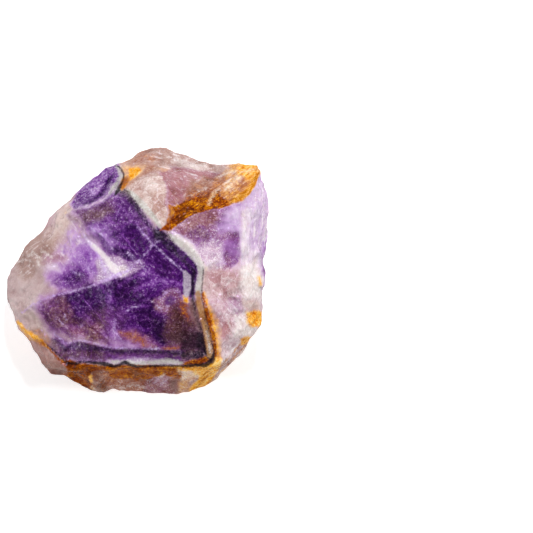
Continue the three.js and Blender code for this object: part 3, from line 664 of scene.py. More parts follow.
INK_HAZE = [
    [(118, 186, 2.6), (119, 191, 3.6), (123, 194, 3.6), (129, 195, 3)],
    [(125, 192, 3), (131, 197, 4.2), (137, 206, 3.6), (143, 215, 2.6), (149, 224, 1.8), (155, 230, 1.8),
     (161, 236, 4.8), (168, 238, 4.6), (174, 244, 2.4), (180, 250, 1), (187, 257, 1)],
    [(166, 243, 3), (174, 250, 3.4), (182.5, 258.5, 2.4), (190, 266, 1.8), (194.6, 272, 1.4),
     (193.6, 280, 1.2), (192.5, 288, 1.8), (193, 298, 1.6), (194, 308, 1), (198, 322, 0.8),
     (201, 336, 2.4), (201, 350, 4)],
    [(206, 354, 5), (194, 355, 4.8), (184, 355, 3.4)],
]
RUST_BANDS = [
    [(203, 292, 0.5), (204.5, 303, 1.7), (208.4, 318, 2.6), (211.8, 331, 2.4), (214.6, 344, 2),
     (215.8, 355, 1.2), (214.6, 362, 0.8), (206, 366.4, 0.2), (194, 366.4, 0.4), (180, 367.8, 1.2),
     (168, 369.4, 3), (158, 371, 4), (150, 371.5, 5), (138, 371.8, 5.4), (124, 371, 5.6),
     (114, 370.6, 4.6), (104, 367.6, 2), (92, 367.5, 3.6), (84, 368, 5.4), (76, 367.5, 4.4),
     (68, 366, 2.2), (60, 359.5, 1.2), (54, 353, 1), (47, 346, 0.9), (42, 341.5, 0.5), (37, 339.4, 0.5)],
    [(196, 388, 0.3), (204, 380, 0.7), (211, 373, 0.3)],
    [(201, 377, 0.2), (207, 372, 0.5), (213, 367, 0.2)],
    [(217, 370, 0.1), (224, 363, 0.4), (232, 354, 0.5), (239, 345, 0.4), (246, 338, 0.2)],
    [(207, 385, 0.1), (216, 377, 0.5), (226, 367, 0.5), (236, 356, 0.4), (244, 347, 0.5),
     (250, 339, 0.2)],
]
GOLD_BANDS = [
    [(204.5, 292, 0.9), (207, 303, 1.4), (211.6, 316, 1.7), (215, 331, 2), (217.4, 344, 1.4),
     (218, 355, 1.6), (216.6, 362, 1.4), (209, 368.4, 2.4), (196, 368.6, 2), (182, 368.2, 1.2)],
    [(18, 322, 1.6), (23, 329, 2.4), (29, 333.6, 3), (36, 337.4, 2.8), (42, 341, 1.2), (50, 349, 0.4)],
    [(24, 336, 0.8), (32, 339, 0.8), (38, 341, 0.6)],
]
PALE_LINES = [
    [(22, 313, 0.5), (33.7, 304.4, 0.7), (49, 297.4, 0.8), (59.6, 294.2, 0.9), (73.7, 291, 0.8),
     (87.7, 287.6, 0.8), (95.8, 284.2, 0.9), (103.5, 281, 1.2), (112, 277.5, 1.8), (119, 274.5, 2.4),
     (127, 271.5, 1.6), (134, 266, 0.8), (140, 260, 0.6), (146, 254, 0.4), (153.3, 246, 0.4),
     (160.4, 240.7, 0.4)],
    [(84, 234, 0.3), (88, 240, 0.7), (93, 245, 0.5)],
    [(89, 241, 0.4), (94, 249, 0.6), (99, 255, 0.6), (103, 263, 0.6), (106, 271, 0.7)],
    [(90, 226, 0.4), (94, 229, 0.8), (99, 232, 0.9), (103.5, 235.8, 0.6), (110.5, 244, 0.4),
     (114, 250, 0.3)],
    [(137.5, 226.7, 0.5), (141, 230.5, 1), (146, 236, 0.8), (153.3, 243.5, 0.6), (160, 250, 0.5),
     (170, 259.6, 0.7), (178, 266, 0.8), (185, 272.5, 1)],
    [(141, 231, 0.5), (145, 228, 0.6)],
    [(54, 333, 0.5), (60, 337.5, 0.7), (66, 342.6, 0.8), (69.5, 344.4, 0.9), (74, 341, 0.7),
     (82, 340, 0.6), (92, 342.4, 0.7), (104, 345.8, 0.7), (120, 347.8, 0.9), (136, 348.2, 0.8),
     (150, 348.8, 0.8), (160, 348.3, 0.8), (176, 349.2, 0.6)],
    [(159, 299, 0.2), (165, 294, 0.6), (172, 290, 0.9), (179, 291, 0.8), (183, 297, 0.4)],
    [(155, 303, 0.5), (160, 307, 0.8), (163, 311, 0.4)],
    [(42, 330, 0.3), (45, 334, 0.6), (46, 338, 0.3)],
    [(116, 318, 0.6), (114.5, 326, 0.9), (117, 334, 0.8), (122, 340, 0.6)],
    [(126, 312, 0.4), (134, 307, 0.6), (142, 305, 0.5)],
    [(62, 311, 0.1), (66, 314, 0.2), (66.5, 321, 0.2), (63, 324, 0.2), (60, 319, 0.1)],
]
# Bright feathers: real ones where the quartz healed over a crack, and painted glints where it broke to a
# slanting sliver that catches the light
FEATHERS_AND_GLINTS = [
    [(28, 256, 0.4), (33, 253, 0.8), (37, 256, 0.7), (40, 258, 0.4)],
    [(42, 251, 0.4), (47, 254, 0.9), (52, 257, 0.6)],
    [(18, 262, 0.8), (25, 260, 0.5), (30, 261, 0.3)],
    [(38, 262, 0.6), (40, 266, 0.5)],
    [(61, 247, 0.3), (63, 250, 0.6), (62, 254, 0.4)],
    [(79, 241, 0.6), (81, 243, 0.7)],
    [(101, 262, 0.4), (103, 267, 0.7), (103.5, 272, 0.4)],
    [(104, 263, 0.3), (108, 271, 0.6), (110, 277, 0.4)],
    [(128, 253, 0.5), (132, 256, 0.7), (134, 259, 0.4)],
    [(140, 261, 0.4), (144, 266, 0.7), (146, 269, 0.4)],
    [(87, 264, 0.3), (89, 268, 0.8), (90, 270, 0.4)],
    [(91, 253, 0.3), (92, 258, 0.6)],
    [(70, 269, 0.4), (76, 273, 0.5), (82, 275, 0.3)],
    [(172, 159, 0.4), (184, 161, 0.7), (196, 165, 0.6), (208, 168, 0.3)],
    [(209, 205, 0.8), (211, 199, 1.8), (214, 194, 1.6), (219, 190, 0.6)],
    [(172, 232.5, 0.4), (179, 237, 0.8), (188, 244, 1.1), (196, 251.5, 1.3), (202, 260, 1.2),
     (204, 268, 0.5)],
    [(206.8, 331, 0.2), (208.6, 340, 0.7), (210.6, 352, 0.7)],
    [(225, 190, 0.3), (230, 186, 0.9), (235, 181, 1.3), (239, 176, 0.8)],
    [(216, 178, 0.4), (226, 174, 0.9), (238, 171, 0.6)],
    [(240, 172, 0.6), (248, 171, 1.4), (256, 168, 1), (260, 171, 0.8)],
    [(192, 196, 0.1), (198, 192, 0.2), (206, 188, 0.1)],
    [(211, 235, 0.4), (213, 240, 0.7), (209, 244, 0.5)],
    [(243, 212, 1), (245, 226, 1.8), (243, 244, 1), (243, 262, 1.4)],
    [(254, 196, 0.5), (256, 214, 0.8), (254, 236, 0.6)],
    [(264, 205, 0.4), (266, 226, 0.6), (264, 240, 0.4)],
    [(216, 267.5, 0.5), (220, 266.5, 0.8), (222, 268, 0.4)],
    [(225, 286, 0.4), (230, 281, 0.6)],
    [(228, 300, 0.4), (233, 309, 0.6), (236, 318, 0.5)],
    [(225, 312, 0.4), (230, 326, 0.7), (235, 336, 0.5)],
    [(234, 322, 0.5), (241, 316, 0.8), (248, 311, 0.5)],
    [(222, 362, 0.2), (231, 352, 0.4), (240, 342, 0.2)],
    [(206, 392, 0.4), (216, 378, 0.7), (226, 366, 0.4)],
    [(179, 369, 0.7), (180, 373, 0.6)],
    [(184, 370, 0.6), (185, 374, 0.5)],
    [(155, 383, 0.3), (160, 377, 0.5), (164, 374, 0.3)],
    [(161, 385, 0.4), (166, 381, 0.6)],
    [(92, 387, 0.7), (95, 390, 0.7)],
    [(120, 388, 0.4), (134, 385, 0.6), (146, 388, 0.4)],
    [(86, 186, 0.3), (91, 189, 0.5), (94, 194, 0.4)],
    [(99, 172, 0.3), (104, 173, 0.6), (107, 176, 0.3)],
    [(92, 184, 0.3), (98, 183, 0.5)],
]
# Soft lighter veils that sweep through the deep violet
VEILS = [
    [(102, 286, 0.1), (106, 294, 0.5), (109, 302, 1.1), (110, 310, 1.1), (107, 318, 0.8)],
    [(113, 290, 0.2), (112, 299, 0.6), (111, 306, 1), (112, 313, 1)],
    [(109, 312, 0.8), (112, 320, 1.6), (113, 328, 2.6), (115, 336, 3), (121, 342, 3.2), (130, 346, 2.4),
     (142, 348, 1.4)],
    [(107, 322, 0.3), (110, 330, 0.8), (114, 338, 1.2), (118, 345, 1.6)],
    [(72, 298, 0.2), (76, 306, 0.3), (80, 314, 0.4), (86, 320, 0.4), (94, 327, 0.3), (98, 332, 0.2)],
    [(78, 305, 0.1), (84, 313, 0.3), (91, 320, 0.3), (99, 328, 0.2), (105, 337, 0.3)],
    [(118, 314, 0.4), (125, 311, 0.8), (132, 309, 0.6), (140, 307, 0.5), (150, 305, 0.2)],
    [(120, 286, 0.5), (128, 280, 1.0), (138, 275, 1.4), (150, 273, 1.2), (158, 276, 0.8)],
    [(136, 290, 0.5), (146, 285, 1.4), (158, 282, 1.8), (170, 281, 1.6), (182, 284, 1.0)],
    [(124, 330, 0.4), (131, 327, 0.8), (139, 326, 1.2), (147, 330, 1.4)],
    [(40, 300, 1), (37, 308, 1.4), (38, 318, 1.6), (42, 328, 1.4)],
    [(60, 330, 1), (70, 327, 1.2), (80, 328, 1)],
    [(92, 207, 0.6), (104, 214, 0.9), (112, 224, 0.6)],
    [(104, 234, 0.5), (112, 240, 0.8), (122, 246, 0.6), (134, 250, 0.5)],
    [(118, 205, 0.6), (126, 212, 0.9), (132, 222, 0.7)],
]
MARKINGS = {
    "white_band": WHITE_BANDS,
    "tan_band": TAN_BANDS,
    "grey_band": GREY_BANDS,
    "ink_line": INK_LINES,
    "ink_haze": INK_HAZE,
    "rust_band": RUST_BANDS,
    "gold_band": GOLD_BANDS,
    "pale_line": PALE_LINES,
    "veil": VEILS,
    "feather": FEATHERS_AND_GLINTS,
}

# Which way the streaks in the quartz run, in degrees from +X, and where they do so.
STREAK_ANGLES = {"falling": -52, "sloping": -12, "rising": 36, "upright": 84}
STREAK_SOFT_PX = 10
STREAK_FIELDS = {
    "falling": [
        (0.6, [(50, 236), (80, 206), (126, 194), (160, 232), (196, 262), (180, 290), (120, 280), (96, 288),
               (60, 288)]),
        (0.9, [(60, 300), (110, 292), (126, 330), (110, 346), (70, 330)]),
        (0.9, [(218, 292), (244, 286), (256, 318), (240, 344), (222, 336)]),
        (0.7, [(150, 196), (166, 204), (164, 226), (150, 214)]),
        (1.0, [(160, 172), (172, 172), (184, 190), (182, 206), (168, 210)]),
    ],
    "sloping": [
        (1.0, [(138, 140), (170, 148), (224, 160), (216, 176), (184, 184), (160, 174), (144, 164)]),
    ],
    "rising": [
        (1.0, [(186, 190), (214, 174), (268, 156), (262, 176), (236, 204), (168, 232), (176, 208)]),
        (1.0, [(176, 405), (200, 368), (222, 362), (262, 322), (280, 340), (240, 392)]),
        (0.8, [(12, 268), (40, 226), (60, 232), (50, 262), (24, 280)]),
        (0.8, [(60, 206), (108, 160), (120, 172), (108, 196), (76, 210)]),
        (0.7, [(120, 286), (180, 276), (190, 300), (150, 330), (124, 320)]),
    ],
    "upright": [
        (1.0, [(236, 206), (260, 172), (285, 200), (285, 290), (256, 300), (240, 262)]),
        (0.4, [(60, 346), (200, 350), (200, 366), (70, 366)]),
    ],
}


def along_segment(points, start, end):
    """For each point, how far along a segment its nearest place is, and how far away that is."""
    way = end - start
    share = np.clip(((points - start) @ way) / (way @ way), 0, 1)
    away = np.linalg.norm(points - (start + share[:, None] * way), axis=1)
    return share, away


def beyond_outline(points, outline_px):
    """How far each point is outside a closed outline; inside it counts below zero."""
    corners = np.array([on_stone(*corner) for corner in outline_px])
    nearest = np.full(len(points), np.inf)
    inside = np.zeros(len(points), bool)
    for start, end in zip(corners, np.roll(corners, -1, axis=0)):
        nearest = np.minimum(nearest, along_segment(points, start, end)[1])
        crosses = (start[1] > points[:, 1]) != (end[1] > points[:, 1])
        rise = np.where(crosses, end[1] - start[1], 1)
        meets = start[0] + (points[:, 1] - start[1]) * (end[0] - start[0]) / rise
        inside ^= crosses & (points[:, 0] < meets)
    return np.where(inside, -nearest, nearest)


def within_outline(points, outline_px, soft_px):
    """How much of each point is inside a closed outline, from 0 to 1 over its soft edge."""
    cover = np.clip(0.5 - beyond_outline(points, outline_px) / (2 * soft_px * METRES_PER_PX), 0, 1)
    return cover * cover * (3 - 2 * cover)


def beyond_marking(points, lines):
    """How far each point is outside the nearest of some lines that have a width."""
    nearest = np.full(len(points), np.inf)
    for line in lines:
        places = [np.array(on_stone(px, py)) for px, py, _ in line]
        halves = [half * METRES_PER_PX for _, _, half in line]
        for i in range(len(line) - 1):
            share, away = along_segment(points, places[i], places[i + 1])
            width = halves[i] + share * (halves[i + 1] - halves[i])
            nearest = np.minimum(nearest, away - width)
    return nearest


def layer_places(piece):
    """Where each vertex lies in the layers as seen from above, and how far an edge strays there."""
    noise.seed_set(STRAY_SEED)
    places = []
    strays = []
    for vertex in piece.data.vertices:
        deep = max(0.0, RIM_HEIGHT - vertex.co.z)
        places.append((vertex.co + LEAN * deep).xy)
        stray = Vector((0, 0, 0))
        for size, reach in STRAYS:
            stray += noise.noise_vector(vertex.co / size) * reach
        strays.append(stray.xy)
    return np.array(places), np.array(strays)


def colour_stone(stone):
    """Stores the tones of the patches, and the distance in millimetres to each kind of marking."""
    places, strays = layer_places(stone)
    tones = {tone: np.full(len(places), PLAIN_QUARTZ.get(tone, 0.0)) for tone in TONES}
    for soft_px, mix, outline in PATCHES:
        cover = within_outline(places + strays * min(1, soft_px / STRAY_SOFT_PX), outline, soft_px)
        for tone in TONES:
            tones[tone] += cover * (mix.get(tone, 0.0) - tones[tone])
    for tone in TONES:
        store(stone, tone, tones[tone])
    for name, lines in MARKINGS.items():
        store(stone, name, beyond_marking(places, lines) / MM)


# The material

VALUE = "NodeSocketFloat"
VECTOR = "NodeSocketVector"

# Screen colours of the quartz and what stains it. The violets go from pale to deep.
PALE_QUARTZ = "#ccb4ae"
VIOLETS = ((0.0, PALE_QUARTZ), (0.25, "#c4a0d0"), (0.45, "#a070b8"), (0.65, "#72388e"), (0.85, "#4a1266"),
           (1.0, "#320846"))
ROSE = "#a8664a"
SMOKE = "#846c67"
MILK = "#e8dfde"
# The white of the bright flecks, which partly stand for painted glints.
GLINT = "#f8eef2"
CRACKLE = "#b68ec6"
PALE_LINE = "#c8a8e0"
INK = "#120912"
INK_HAZE_TONE = "#2c2630"
WHITE_BAND = "#bcb8b2"
TAN_BAND = "#ae8054"
GREY_BAND = "#b2a4b4"
CREAM = "#f4dcb8"
GLOSS_TINT = "#e8d0ff"
# The stains' own shades go from dark to light.
GOLDS = ((0.38, "#cc7c00"), (0.5, "#eca010"), (0.64, "#f8cc78"))
RUSTS = ((0.36, "#5c2800"), (0.5, "#964600"), (0.64, "#d48000"))

# Patterns in the quartz: scale per millimetre, detail, roughness and twist.
PATTERNS = {
    "clouds": (0.22, 5.0, 0.55, 0.6),
    "wisps": (0.65, 6.0, 0.65, 1.0),
    "grain": (2.6, 4.0, 0.72, 0.0),
    "specks": (4.2, 2.0, 0.6, 0.0),
    "flecks": (3.0, 3.0, 0.7, 0.8),
    "crackle": (1.4, 3.0, 0.75, 0.5),
    "ripples": (0.9, 1.5, 0.5, 0.0),
}
# Patterns of the streaks, with the same four values. The first three are drawn out along the streak.
STREAK_STRETCH = (0.1, 1.0, 0.4)
STREAK_PATTERNS = {
    "slivers": (1.0, 4.0, 0.62, 0.5),
    "cracks": (2.2, 2.0, 0.5, 0.8),
    "hair": (2.4, 5.0, 0.7, 0.6),
    "patchy": (0.3, 2.0, 0.55, 0.0),
    "broken": (1.1, 2.0, 0.55, 0.0),
}
RAGGED_PATTERN = (3.0, 0.65, 0.0)  # detail, roughness and twist of a marking's ragged edge

# Splinters and chips: their scale, and the scale, detail and reach of what bends them.
SPLINTER_SCALE = 0.75
SPLINTER_BEND = (0.5, 3.0, 4.0)
CHIP_SCALE = 0.4
CHIP_BEND = (0.4, 2.0, 2.0)

# The edge of each marking: softness and raggedness in millimetres, and the scale of the rags.
EDGES = {
    "veil": (0.6, 2.4, 0.6),
    "pale_line": (0.3, 1.3, 1.6),
    "ink_haze": (0.7, 1.8, 1.8),
    "gold_band": (0.4, 1.6, 0.9),
    "rust_band": (0.3, 1.4, 1.2),
    "white_band": (0.3, 1.1, 2.2),
    "tan_band": (0.25, 0.9, 2.0),
    "grey_band": (0.25, 0.5, 2.0),
    "ink_line": (0.22, 0.6, 2.5),
    "feather": (0.5, 1.4, 1.2),
}

# How much of the clouds, wisps and grain is stirred into each tone.
STIRRED = {
    "violet": (0.5, 0.7, 0.7),
    "rose": (0.5, 0.5, 0.4),
    "smoke": (0.5, 0.5, 0.5),
    "milk": (0.5, 0.9, 0.6),
    "ink": (0.3, 0.5, 0.6),
    "gold": (0.3, 0.8, 0.3),
    "rust": (0.3, 0.6, 0.3),
}

# How much of each tone is gone where a bright sliver or fleck cuts through.
CUTS = {"violet": 0.42, "rose": 0.3, "smoke": 0.5, "ink": 0.6, "ink_haze": 0.6}

# Soft steps: where each begins and ends, and the values that it goes from and to, 0 and 1 if not given.
STEPS = {
    "sliver_shows": (0.54, 0.7),
    "slivers_in_patches": (0.38, 0.6),
    "hairline": (0.0, 0.035, 1.0, 0.0),
    "hairline_broken_up": (0.5, 0.62),
    "tone_is_there": (0.0, 0.3),
    "frosted_enough_to_chip": (0.25, 0.6),
    "pale_enough_to_chip": (0.3, 0.6, 1.0, 0.2),
    "seam": (0.0, 0.07, 1.0, 0.0),
    "seam_broken_up": (0.42, 0.56),
    "violet_enough_to_crackle": (0.4, 0.75),
    "fine_fleck": (0.68, 0.76),
    "coarse_fleck": (0.68, 0.74),
    "veil_in_wisps": (0.3, 0.6, 0.35, 1.0),
    "hair_in_violet": (0.1, 0.5, 0.2, 0.8),
    "glint_in_pale": (0.25, 0.6, 0.85, 0.0),
    "pale_line_in_wisps": (0.35, 0.6, 0.15, 0.9),
    "light_crackle": (0.56, 0.68),
    "crackle_in_frost": (0.0, 0.5, 0.14, 0.45),
    "haze_in_grain": (0.4, 0.65, 0.95, 0.5),
    "gold_shows": (0.05, 0.8),
    "rust_shows": (0.1, 0.75),
    "white_in_grain": (0.3, 0.55, 0.4, 0.95),
    "tan_in_grain": (0.3, 0.6, 0.6, 0.95),
    "feather_in_flecks": (0.4, 0.54),
    "feather_on_violet": (0.25, 0.6),
    # painted shade: the colour darkens in the carved hollows and lightens on the raised breaks
    "hollow_painted_darker": (-0.3, 0.5, 0.9, 1.2),
    "mottled": (0.05, 0.5, 0.5, 1.0),
    "crack": (0.0, 0.012, 1.0, 0.0),
    "crack_in_clouds": (0.45, 0.55),
    "facets_in_pale": (0.5, 0.9, 1.0, 0.35),
    "wisps_are_duller": (0.3, 0.7, 0.04, 0.1),
    "violet_is_duller": (0.5, 0.85, 0.0, 0.2),
}

# How much each thing adds to what it is mixed into, or takes off it.
FROST_TO_FLECKS = 0.1
STREAK_TO_SPARKLE = 0.9
SEAM_TO_SPARKLE = 0.4
VEIL_OFF_VIOLET = 0.34
GOLD_BAND_SHARE = 0.95
GREY_BAND_SHARE = 0.85
INK_LINE_SHARE = 0.92
FEATHER_SHARE = 0.9
# What lightens or darkens the gold and the rust, and what mottles the depth of the colour.
STAIN_SHADES = {
    "wisps": 0.5,
    "grain": 0.5,
    "hair": 0.9,
    "streak": 0.12,
    "crackle": 0.18,
    "ink": -0.1,
    # milk also lightens the gold and rust, which on the lower right rim is painted light
    "milk": 0.1,
}
MOTTLES = {"grain": 1.3, "wisps": 0.8, "splinters": 0.25}
CRACKLE_OFF_DEPTH = 1.5
CHIPS_OFF_DEPTH = 0.5
SPARKLE_OFF_DEPTH = 0.2
HAIR_OFF_DEPTH = 0.9
CRACK_TO_DEPTH = 0.35
CRACK_VALUE = 0.46  # cracks run where the wisps pass through this value

FACETS = ((0.6, 0.22), (1.7, 0.3))  # scale of the crystal facets, and how far they turn the light
RIPPLE_HEIGHT = 0.4
STREAK_HEIGHT = 0.08
BUMP_STRENGTH = 0.7
BUMP_DEPTH = 0.6 * MM
STAIN_ROUGHNESS = 0.06  # what rust, and the white band, add to the roughness
QUARTZ_IOR = 1.544
GLOSS_LEVEL = 0.15
CLOUDINESS = 0.12
CLOUD_RADIUS = (1.0, 0.7, 1.0)
CLOUD_DEPTH = 1.0 * MM


def tone(hex_colour):
    """A colour written as on screen, in the linear values that a shader takes."""
    parts = [int(hex_colour[i:i + 2], 16) / 255 for i in (1, 3, 5)]
    return (*[c / 12.92 if c <= 0.04045 else ((c + 0.055) / 1.055) ** 2.4 for c in parts], 1.0)


class Wiring:
    """Adds nodes to a node tree and joins them up."""

    def __init__(self, tree):
        self.tree = tree

    def add(self, kind, inputs=None, **settings):
        """A new node, with its settings made and its inputs fed."""
        made = self.tree.nodes.new(kind)
        for name, value in settings.items():
            setattr(made, name, value)
        for name, value in (inputs or {}).items():
            self.feed(made.inputs[name], value)
        return made

    def feed(self, socket, value):
        """Links a socket to another one, or sets it to a plain value."""
        if isinstance(value, bpy.types.NodeSocket):
            self.tree.links.new(value, socket)
        else:
            socket.default_value = value

    def math(self, operation, *values, clamp=False):
        """What one operation makes of one or two values."""
        made = self.add("ShaderNodeMath", dict(enumerate(values)), operation=operation, use_clamp=clamp)
        return made.outputs[0]

    def times(self, value, share):
        """One value times another."""
        return self.math("MULTIPLY", value, share)

    def plus(self, value, more):
        """One value and another together."""
        return self.math("ADD", value, more)

    def less(self, value, part):
        """A value with another taken off."""
        return self.math("SUBTRACT", value, part)

    def most(self, value, other):
        """The larger of two values."""
        return self.math("MAXIMUM", value, other)

    def sway(self, pattern, share):
        """How far a pattern is above or below its middle, times a share."""
        return self.times(self.less(pattern, 0.5), share)

    def vector(self, operation, inputs):
        """What one operation makes of its vectors."""
        return self.add("ShaderNodeVectorMath", inputs, operation=operation).outputs[0]

    def blend(self, factor, under, over):
        """One colour laid over another."""
        made = self.add("ShaderNodeMix", None, data_type="RGBA")
        for index, value in {0: factor, 6: under, 7: over}.items():
            self.feed(made.inputs[index], value)
        return made.outputs[2]

    def span(self, value, low, high, to_low=0.0, to_high=1.0):
        """A soft step of a value between two others."""
        inputs = {"Value": value, "From Min": low, "From Max": high, "To Min": to_low, "To Max": to_high}
        return self.add("ShaderNodeMapRange", inputs, interpolation_type="SMOOTHSTEP").outputs[0]

    def step(self, value, name):
        """One of the named soft steps of a value."""
        return self.span(value, *STEPS[name])

    def ramp(self, factor, stops):
        """A colour out of a row of screen colours with their places."""
        made = self.add("ShaderNodeValToRGB", {"Fac": factor})
        points = made.color_ramp.elements
        while len(points) < len(stops):
            points.new(1.0)
        for point, (place, colour) in zip(points, stops):
            point.position = place
            point.color = tone(colour)
        return made.outputs["Color"]

    def noise(self, place, scale, detail, roughness, twist):
        """A cloudy pattern from 0 to 1."""
        inputs = {"Vector": place, "Scale": scale, "Detail": detail}
        inputs.update({"Roughness": roughness, "Distortion": twist})
        return self.add("ShaderNodeTexNoise", inputs).outputs["Fac"]

    def attribute(self, name):
        """A value that is stored for each vertex."""
        return self.add("ShaderNodeAttribute", attribute_name=name).outputs["Fac"]


def effect(name, inputs, outputs):
    """An empty node group with named inputs and outputs; gives the group and its wiring."""
    group = bpy.data.node_groups.new(name, "ShaderNodeTree")
    for socket, kind in inputs.items():
        group.interface.new_socket(socket, in_out="INPUT", socket_type=kind)
    for socket, kind in outputs.items():
        group.interface.new_socket(socket, in_out="OUTPUT", socket_type=kind)
    return group, Wiring(group)


def marking_group():
    """A node group: how much of a marking covers the stone, with a soft and ragged edge."""
    inputs = {"Beyond": VALUE, "Place": VECTOR, "Soft": VALUE, "Ragged": VALUE, "Grain": VALUE}
    group, wire = effect("Marking", inputs, {"Cover": VALUE})
    given = wire.add("NodeGroupInput").outputs
    stray = wire.sway(wire.noise(given["Place"], given["Grain"], *RAGGED_PATTERN), given["Ragged"])
    edge = wire.plus(given["Beyond"], stray)
    within = wire.math("DIVIDE", wire.less(given["Soft"], edge), wire.times(given["Soft"], 2.0))
    wire.add("NodeGroupOutput", {"Cover": wire.span(within, 0.0, 1.0)})
    return group


def facet_group():
    """A node group: a normal that turns its own way on each small crystal facet."""
    inputs = {"Place": VECTOR, "Size": VALUE, "Turn": VALUE, "Normal": VECTOR}
    group, wire = effect("Facets", inputs, {"Normal": VECTOR})
    given = wire.add("NodeGroupInput").outputs
    cells = wire.add("ShaderNodeTexVoronoi", {"Vector": given["Place"], "Scale": given["Size"]})
    own = wire.vector("SUBTRACT", {0: cells.outputs["Color"], 1: (0.5, 0.5, 0.5)})
    own = wire.vector("SCALE", {0: own, "Scale": given["Turn"]})
    turned = wire.vector("ADD", {0: given["Normal"], 1: own})
    wire.add("NodeGroupOutput", {"Normal": wire.vector("NORMALIZE", {0: turned})})
    return group


def streak_group():
    """A node group: bright slivers, and fine light and dark hair, drawn out along one direction."""
    inputs = {"Place": VECTOR, "Angle": VALUE, "Shown": VALUE}
    group, wire = effect("Streaks", inputs, {"Streak": VALUE, "Hair": VALUE})
    given = wire.add("NodeGroupInput").outputs
    turned = wire.add("ShaderNodeVectorRotate", {"Vector": given["Place"], "Angle": given["Angle"]},
                      rotation_type="Z_AXIS").outputs[0]
    drawn = wire.vector("MULTIPLY", {0: turned, 1: STREAK_STRETCH})
    slivers = wire.step(wire.noise(drawn, *STREAK_PATTERNS["slivers"]), "sliver_shows")
    patchy = wire.step(wire.noise(given["Place"], *STREAK_PATTERNS["patchy"]), "slivers_in_patches")
    slivers = wire.times(slivers, patchy)
    cracks = wire.less(wire.noise(drawn, *STREAK_PATTERNS["cracks"]), 0.5)
    cracks = wire.step(wire.math("ABSOLUTE", cracks), "hairline")
    broken = wire.step(wire.noise(given["Place"], *STREAK_PATTERNS["broken"]), "hairline_broken_up")
    cracks = wire.times(cracks, broken)
    streak = wire.times(wire.most(slivers, cracks), given["Shown"])
    hair = wire.sway(wire.noise(drawn, *STREAK_PATTERNS["hair"]), given["Shown"])
    wire.add("NodeGroupOutput", {"Streak": streak, "Hair": hair})
    return group


